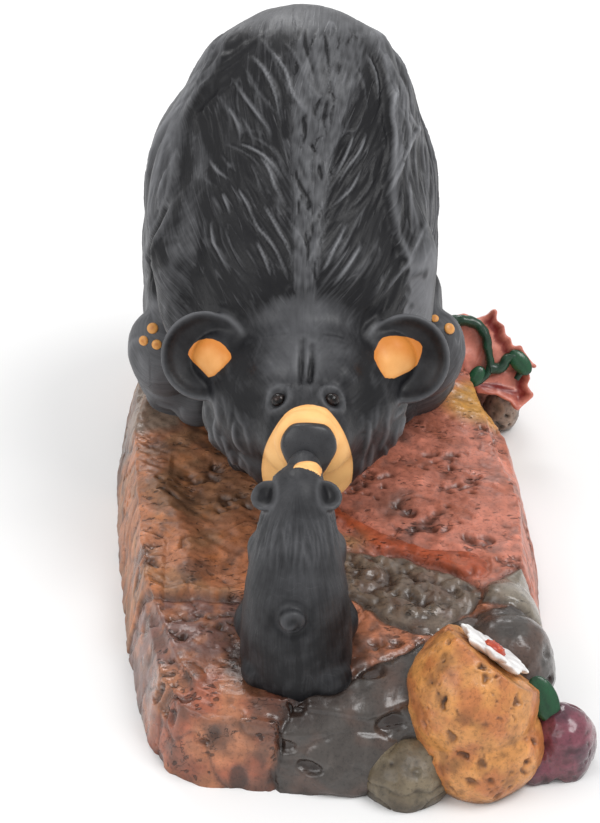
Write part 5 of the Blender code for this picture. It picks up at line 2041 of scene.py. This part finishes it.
class Grower(Wiring):
    """A Geometry Nodes tree with named inputs."""

    def __init__(self, name: str, inputs: dict[str, tuple[str, float | int]]) -> None:
        """Starts a tree with a geometry input and named inputs of (socket type, value)."""
        self.tree = bpy.data.node_groups.new(name, "GeometryNodeTree")
        self.tree.interface.new_socket("Geometry", in_out="INPUT", socket_type="NodeSocketGeometry")
        self.values = {}
        for label, (kind, value) in inputs.items():
            socket = self.tree.interface.new_socket(label, in_out="INPUT", socket_type=kind)
            self.values[socket.identifier] = value
        self.tree.interface.new_socket("Geometry", in_out="OUTPUT", socket_type="NodeSocketGeometry")
        self.entry = self.tree.nodes.new("NodeGroupInput")
        self.exit = self.tree.nodes.new("NodeGroupOutput")

    def grow(self, thing: bpy.types.Object, result: Socket, material: bpy.types.Material) -> bpy.types.Mesh:
        """Ends the tree, runs it on an object and returns the plain mesh.

        Args:
            thing: the object that the tree starts from; it is used up.
            result: the geometry to end with.
            material: the finish of the result.

        Returns:
            The mesh that the tree makes.
        """
        real = self.node("GeometryNodeRealizeInstances", {"Geometry": result}).outputs[0]
        dressed = self.node("GeometryNodeSetMaterial", {"Geometry": real, "Material": material})
        self.tree.links.new(dressed.outputs[0], self.exit.inputs[0])
        modifier = thing.modifiers.new("grow", "NODES")
        modifier.node_group = self.tree
        for identifier, value in self.values.items():
            modifier[identifier] = value
        return settled(thing)


@dataclass
class Flower:
    """The white flower behind the boulder: a ring of petals round a red heart."""

    petals: int = 8
    radius: float = 9.2
    petal_width: float = 3.6
    thickness: float = 1.1
    heart: float = 2.9
    centre: Point = (-18.4, 17.4, 28.8)
    facing: Point = (0.59, 0.38, 0.73)

    def build(self) -> None:
        """Builds the petals and the heart."""
        place = Matrix.Translation(Vector(LAYOUT.corner) + Vector(self.centre))
        aim = Vector(self.facing).to_track_quat("Z", "Y").to_matrix().to_4x4()
        petals = self.ring()
        petals.transform(place @ aim)
        self.shade(petals, 3.0)
        finish_piece("flower_petals", petals, None)
        form = bmesh.new()
        flat = Matrix.Translation((0, 0, 1.1)) @ Matrix.Diagonal([self.heart, self.heart, 1.5, 1.0])
        bmesh.ops.create_icosphere(form, subdivisions=5, radius=1.0, matrix=flat)
        heart = meshed(form, "flower_heart")
        skin = Skin(heart)
        seeds = Noise(61).bowls(skin.points, 0.9, 0.9)
        skin.carve(0.3 * seeds)
        skin.number("shade", 1.0 - seeds)
        heart.transform(place @ aim)
        paint = EnamelPaint("flower heart enamel", rgb(228, 110, 68), rgb(170, 58, 34))
        finish_piece("flower_heart", heart, paint.material())

    def ring(self) -> bpy.types.Mesh:
        """Returns the ring of petals, set out by a Geometry Nodes tree."""
        form = bmesh.new()
        half = self.radius / 2
        flat = Matrix.Diagonal([half, self.petal_width, self.thickness, 1.0])
        place = Matrix.Translation((half, 0, 0)) @ flat
        bmesh.ops.create_icosphere(form, subdivisions=4, radius=1.0, matrix=place)
        for vert in form.verts:
            reach = vert.co.x / self.radius
            vert.co.z += 0.7 * reach**2 - 0.3 * math.cos(vert.co.y * 1.2) * reach
            vert.co.x += 0.35 * math.cos(vert.co.y * 2.2) * reach
        kinds = {
            "Petals": ("NodeSocketInt", self.petals),
            "Hub": ("NodeSocketFloat", 0.4),
            "Lift": ("NodeSocketFloat", 0.05),
        }
        tree = Grower("petals round a heart", kinds)
        given = tree.entry.outputs
        circle = tree.node("GeometryNodeMeshCircle", {"Vertices": given["Petals"], "Radius": given["Hub"]})
        index = tree.node("GeometryNodeInputIndex").outputs[0]
        angle = tree.maths("MULTIPLY", tree.maths("DIVIDE", index, given["Petals"]), math.tau)
        drawn = {2: -0.06, 3: 0.06, "ID": index, "Seed": 4}
        tilt = tree.node("FunctionNodeRandomValue", drawn, data_type="FLOAT").outputs[1]
        lift = tree.maths("SUBTRACT", tilt, given["Lift"])
        turn = tree.node("ShaderNodeCombineXYZ", {0: 0.0, 1: lift, 2: angle}).outputs[0]
        spin = tree.node("FunctionNodeEulerToRotation", {0: turn}).outputs[0]
        placed = tree.node(
            "GeometryNodeInstanceOnPoints",
            {"Points": circle.outputs[0], "Instance": given["Geometry"], "Rotation": spin},
        )
        paint = EnamelPaint("petal enamel", rgb(246, 245, 243), rgb(186, 182, 184), roughness=0.38)
        return tree.grow(new_thing("petal", meshed(form, "petal")), placed.outputs[0], paint.material())

    @staticmethod
    def shade(mesh: bpy.types.Mesh, size: float) -> None:
        """Stores soft shading for the enamel."""
        skin = Skin(mesh)
        skin.number("shade", np.clip(0.25 + 0.4 * Noise(71).at(skin.points, size), 0.0, 1.0))


@dataclass
class Leaves:
    """The red maple leaf, the vine over it and the small green leaves."""

    thickness: float = 2.4
    voxel: float = 0.32
    vine_radius: float = 1.6
    outline: tuple = (
        (-11.8, 11.4), (-7.9, 12.2), (-4.4, 11.5), (-2.0, 12.3), (-0.1, 14.0), (0.5, 11.2), (2.4, 10.0),
        (2.9, 7.6), (4.3, 7.0), (4.9, 5.0), (6.9, 4.9), (8.4, 3.0), (11.2, 0.1), (8.9, 0.4), (10.0, -2.9),
        (9.4, -4.6), (10.8, -7.2), (7.4, -11.2), (5.2, -9.0), (1.5, -7.4), (-3.0, -7.6), (-5.4, -4.2),
        (-9.3, -1.6), (-12.6, 3.0),
    )
    stalk: tuple[float, float] = (-5.0, -5.0)
    tips: tuple = ((-11.0, 10.5), (-0.4, 13.0), (6.5, 4.6), (10.6, 0.2), (10.2, -6.8), (6.8, -10.4))
    # The vine and its loop, measured on the maple leaf.
    routes: tuple = (
        ((-11.4, 10.2, 2.6), (-6.5, 10.3, 2.9), (-3.3, 8.6, 2.9), (-1.4, 3.4, 2.8), (-0.6, -1.4, 2.6),
         (-2.9, -4.6, 2.4)),
        ((-0.6, -1.1, 2.6), (2.1, -0.6, 2.6), (3.9, 1.9, 2.9), (6.7, 1.6, 3.0), (7.4, -0.8, 2.8),
         (6.4, -3.3, 2.4)),
    )

    def build(self) -> None:
        """Builds the maple leaf, the vines and the green leaves."""
        self.maple_leaf()
        self.vines()
        self.green_leaf("front_green_leaf", LAYOUT.corner, (-5.9, 13.0, 18.0), -66, (6.0, 3.4))
        self.green_leaf("vine_leaf", LAYOUT.rear, (-2.9, -5.5, 21.0), 60, (3.2, 2.2))
        self.green_leaf("vine_leaf_low", LAYOUT.rear, (9.3, -3.6, 24.4), -50, (4.2, 2.6))

    def maple_leaf(self) -> None:
        """Builds the maple leaf with raised veins and a curled rim."""
        form = bmesh.new()
        corners = [form.verts.new((x, y, -self.thickness / 2)) for x, y in reversed(self.outline)]
        face = form.faces.new(corners)
        raised = bmesh.ops.extrude_face_region(form, geom=[face])["geom"]
        top = [item for item in raised if isinstance(item, bmesh.types.BMVert)]
        bmesh.ops.translate(form, verts=top, vec=(0, 0, self.thickness))
        clay = Clay("maple_leaf")
        clay.add(meshed(form, "leaf"))
        skin = Skin(clay.fuse(self.voxel, 4))
        points = skin.points
        flat = points * np.array((1, 1, 0))
        veins = np.min([from_line(flat, [(*self.stalk, 0), (*tip, 0)])[0] for tip in self.tips], axis=0)
        edge = inside_outline(points[:, :2], np.array(self.outline))
        ruffle = Noise(82).at(points, 7.0)
        skin.carve(0.35 * bell(veins, 0.6) + 0.25 * Noise(81).at(points, 3.0))
        curl = bell(np.maximum(edge, 0.0), 1.8) * smooth(-4.0, 2.0, points[:, 0])
        skin.shift(np.stack([0 * curl, 0 * curl, 1.6 * curl + 1.1 * ruffle], axis=1))
        tone = 0.10 + 0.30 * bell(veins, 0.5) + 0.8 * bell(edge - 2.2, 1.1) * (curl > 0.05)
        skin.number("shade", np.clip(tone + 0.35 * smooth(0.1, 0.7, -ruffle), 0.0, 1.0))
        skin.mesh.transform(self.lie())
        paint = EnamelPaint("maple leaf enamel", rgb(222, 136, 116), rgb(128, 42, 38), roughness=0.34)
        finish_piece("maple_leaf", skin.mesh, paint.material())

    @staticmethod
    def lie() -> Matrix:
        """Returns the place and the tilt of the maple leaf against its stone."""
        turn = Euler([math.radians(angle) for angle in (56, 5, 0)]).to_matrix().to_4x4()
        place = Matrix.Translation(Vector(LAYOUT.rear) + Vector((1.4, -1, 22.0)))
        return place @ turn @ Matrix.Scale(1.12, 4)

    def vines(self) -> None:
        """Builds the vine and its loop as tubes along two paths on the maple leaf."""
        curve = bpy.data.curves.new("vine", "CURVE")
        curve.dimensions = "3D"
        for route in self.routes:
            spline = curve.splines.new("BEZIER")
            spline.bezier_points.add(len(route) - 1)
            for knot, point in zip(spline.bezier_points, route):
                knot.co = self.lie() @ Vector(point)
                knot.handle_left_type = knot.handle_right_type = "AUTO"
        tree = Grower("vine along a path", {"Radius": ("NodeSocketFloat", self.vine_radius)})
        even = tree.node("GeometryNodeResampleCurve", {"Curve": tree.entry.outputs["Geometry"], "Count": 60})
        along = tree.node("GeometryNodeSplineParameter").outputs[0]
        taper = tree.maths("SUBTRACT", 1.15, along)
        thin = tree.maths("POWER", taper, 0.35)
        size = tree.maths("MULTIPLY", thin, tree.entry.outputs["Radius"])
        profile = tree.node("GeometryNodeCurvePrimitiveCircle", {"Radius": 1.0, "Resolution": 20})
        parts = {"Curve": even.outputs[0], "Profile Curve": profile.outputs[0], "Fill Caps": True}
        tube = tree.node("GeometryNodeCurveToMesh", parts)
        if "Scale" in tube.inputs:
            tree.tree.links.new(size, tube.inputs["Scale"])
        else:
            wide = tree.node("GeometryNodeSetCurveRadius", {"Curve": even.outputs[0], "Radius": size})
            tree.tree.links.new(wide.outputs[0], tube.inputs["Curve"])
        paint = EnamelPaint("vine enamel", rgb(38, 72, 52), rgb(18, 34, 26), roughness=0.26)
        mesh = tree.grow(new_thing("vine", curve), tube.outputs[0], paint.material())
        skin = Skin(mesh)
        skin.carve(0.22 * Noise(83).at(skin.points, 1.8))
        skin.number("shade", np.clip(0.3 + 0.5 * Noise(84).at(skin.points, 3.0), 0.0, 1.0))
        finish_piece("vine", mesh, None)

    @staticmethod
    def green_leaf(name: str, origin: Point, centre: Point, spin: float, half: tuple[float, float]) -> None:
        """Builds a small pointed leaf with a midrib.

        Args:
            name: the piece's name.
            origin: the corner that it is measured from.
            centre: its middle.
            spin: how far its length is turned from level, in degrees, as the viewer sees it.
            half: half its length and half its width.
        """
        form = bmesh.new()
        flat = Matrix.Diagonal([half[0], half[1], 1.1, 1.0])
        bmesh.ops.create_icosphere(form, subdivisions=5, radius=1.0, matrix=flat)
        skin = Skin(meshed(form, name))
        points = skin.points
        rib = bell(points[:, 1], 0.45)
        side = creases(np.sin((points[:, 0] + np.abs(points[:, 1])) * 1.5), 0.4)
        skin.carve(-0.05 * rib - 0.03 * side)
        edge = smooth(0.75, 1.0, np.hypot(points[:, 0] / half[0], points[:, 1] / half[1]))
        skin.number("shade", np.clip(0.1 + 0.2 * rib + 0.12 * side + 0.35 * edge, 0, 1))
        turn = Matrix.Rotation(math.radians(58), 4, "X") @ Matrix.Rotation(math.radians(spin), 4, "Z")
        skin.mesh.transform(Matrix.Translation(Vector(origin) + Vector(centre)) @ turn)
        paint = EnamelPaint(name + " enamel", rgb(34, 84, 54), rgb(16, 40, 28), roughness=0.24)
        finish_piece(name, skin.mesh, paint.material())


@dataclass
class ToePads:
    """The golden pads on the soles of the mother's upturned feet."""

    places: tuple

    def build(self) -> None:
        """Builds the pads as domes set on points by a Geometry Nodes tree."""
        points = bpy.data.meshes.new("toe_pads")
        points.from_pydata([tuple(place) for place, _, _ in self.places], [], [])
        sizes = points.attributes.new("size", "FLOAT", "POINT")
        sizes.data.foreach_set("value", [size for _, _, size in self.places])
        aims = points.attributes.new("aim", "FLOAT_VECTOR", "POINT")
        aims.data.foreach_set("vector", np.concatenate([aim for _, aim, _ in self.places]).astype(np.float32))
        kinds = {"Flatness": ("NodeSocketFloat", 0.45), "Width": ("NodeSocketFloat", 1.0)}
        tree = Grower("pads on points", kinds)
        given = tree.entry.outputs
        dome = tree.node("GeometryNodeMeshIcoSphere", {"Radius": 1.0, "Subdivisions": 3})
        size = tree.node("GeometryNodeInputNamedAttribute", {"Name": "size"}, data_type="FLOAT").outputs[0]
        wide = tree.maths("MULTIPLY", size, given["Width"])
        thick = tree.maths("MULTIPLY", size, given["Flatness"])
        scale = tree.node("ShaderNodeCombineXYZ", {0: wide, 1: wide, 2: thick}).outputs[0]
        named = tree.node("GeometryNodeInputNamedAttribute", {"Name": "aim"}, data_type="FLOAT_VECTOR")
        aim = named.outputs[0]
        facing = tree.node("FunctionNodeAlignRotationToVector", {"Vector": aim}, axis="Z").outputs[0]
        placed = tree.node(
            "GeometryNodeInstanceOnPoints",
            {"Points": given["Geometry"], "Instance": dome.outputs[0], "Rotation": facing, "Scale": scale},
        )
        paint = EnamelPaint("toe pad enamel", rgb(226, 160, 84), rgb(176, 92, 40), roughness=0.4)
        mesh = tree.grow(new_thing("toe_pads", points), placed.outputs[0], paint.material())
        skin = Skin(mesh)
        shade = np.zeros(len(skin.points))
        for place, _, size in self.places:
            gap = np.linalg.norm(skin.points - place, axis=1)
            shade = np.maximum(shade, (1.0 - smooth(0.2, 0.75, gap / size)) * (gap < size * 1.2))
        skin.number("shade", shade)
        finish_piece("toe_pads", mesh, None)


# The studio.


@dataclass(frozen=True)
class Lamp:
    """One soft light."""

    name: str
    place: Point
    size: float
    power: float
    tint: Colour = (1.0, 1.0, 1.0)

    def build(self, target: Vector) -> None:
        """Builds the light and turns it to the target."""
        data = bpy.data.lights.new(self.name, "AREA")
        data.shape = "DISK"
        data.size = self.size
        data.energy = self.power
        data.color = self.tint
        lamp = new_thing(self.name, data)
        lamp.location = self.place
        lamp.rotation_euler = (target - Vector(self.place)).to_track_quat("-Z", "Y").to_euler()


@dataclass
class Studio:
    """The pale floor, the soft lights and the camera at the photograph's viewing angle."""

    focal_pixels: float = 2350.0
    picture_height: float = 823.0
    sensor: float = 36.0
    floor_half: float = 6.0
    surround: float = 0.68
    lamps: tuple = (
        Lamp("key light", (0.45, -0.15, 0.85), 0.5, 4.3),
        Lamp("fill light", (-0.60, -0.35, 0.60), 0.6, 2.1),
        Lamp("rim light", (-0.15, 0.75, 0.65), 0.4, 2.6),
    )

    def build(self) -> None:
        """Builds the studio."""
        scene = bpy.context.scene
        scene.view_settings.view_transform = "Standard"
        placing = LAYOUT.placing()
        eye = placing @ Vector(VIEWER.eye)
        target = placing @ Vector(VIEWER.target)
        data = bpy.data.cameras.new("camera")
        data.sensor_fit = "VERTICAL"
        data.sensor_height = self.sensor
        data.lens = self.focal_pixels * self.sensor / self.picture_height
        data.clip_start = 0.01
        camera = new_thing("camera", data)
        camera.location = eye
        camera.rotation_euler = (target - eye).to_track_quat("-Z", "Y").to_euler()
        scene.camera = camera
        for lamp in self.lamps:
            lamp.build(target)
        self.floor()
        self.world(scene)

    def floor(self) -> None:
        """Builds the pale floor."""
        form = bmesh.new()
        bmesh.ops.create_grid(form, x_segments=2, y_segments=2, size=self.floor_half)
        mesh = meshed(form, "floor")
        sheet = Sheet("floor paper")
        grain = sheet.noise(sheet.place(), 0.4)
        sheet.give("Base Color", sheet.mix(grain, (0.86, 0.86, 0.86), (0.9, 0.9, 0.9)))
        sheet.give("Roughness", 0.9)
        sheet.give("Specular IOR Level", 0.1)
        mesh.materials.append(sheet.material)
        new_thing("floor", mesh)

    def world(self, scene: bpy.types.Scene) -> None:
        """Sets an even white surround."""
        world = bpy.data.worlds.new("surround")
        world.use_nodes = True
        background = world.node_tree.nodes["Background"]
        background.inputs["Color"].default_value = (1.0, 1.0, 1.0, 1.0)
        background.inputs["Strength"].default_value = self.surround
        scene.world = world


def main() -> None:
    """Builds the figurine and its studio."""
    logging.basicConfig(level=logging.INFO, format="%(name)s: %(message)s")
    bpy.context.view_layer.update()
    Studio().build()
    MotherBear().build()
    Cub().build()
    RockSlab().build()
    for stone in stones():
        stone.build()
    Flower().build()
    Leaves().build()


if __name__ == "__main__":
    main()
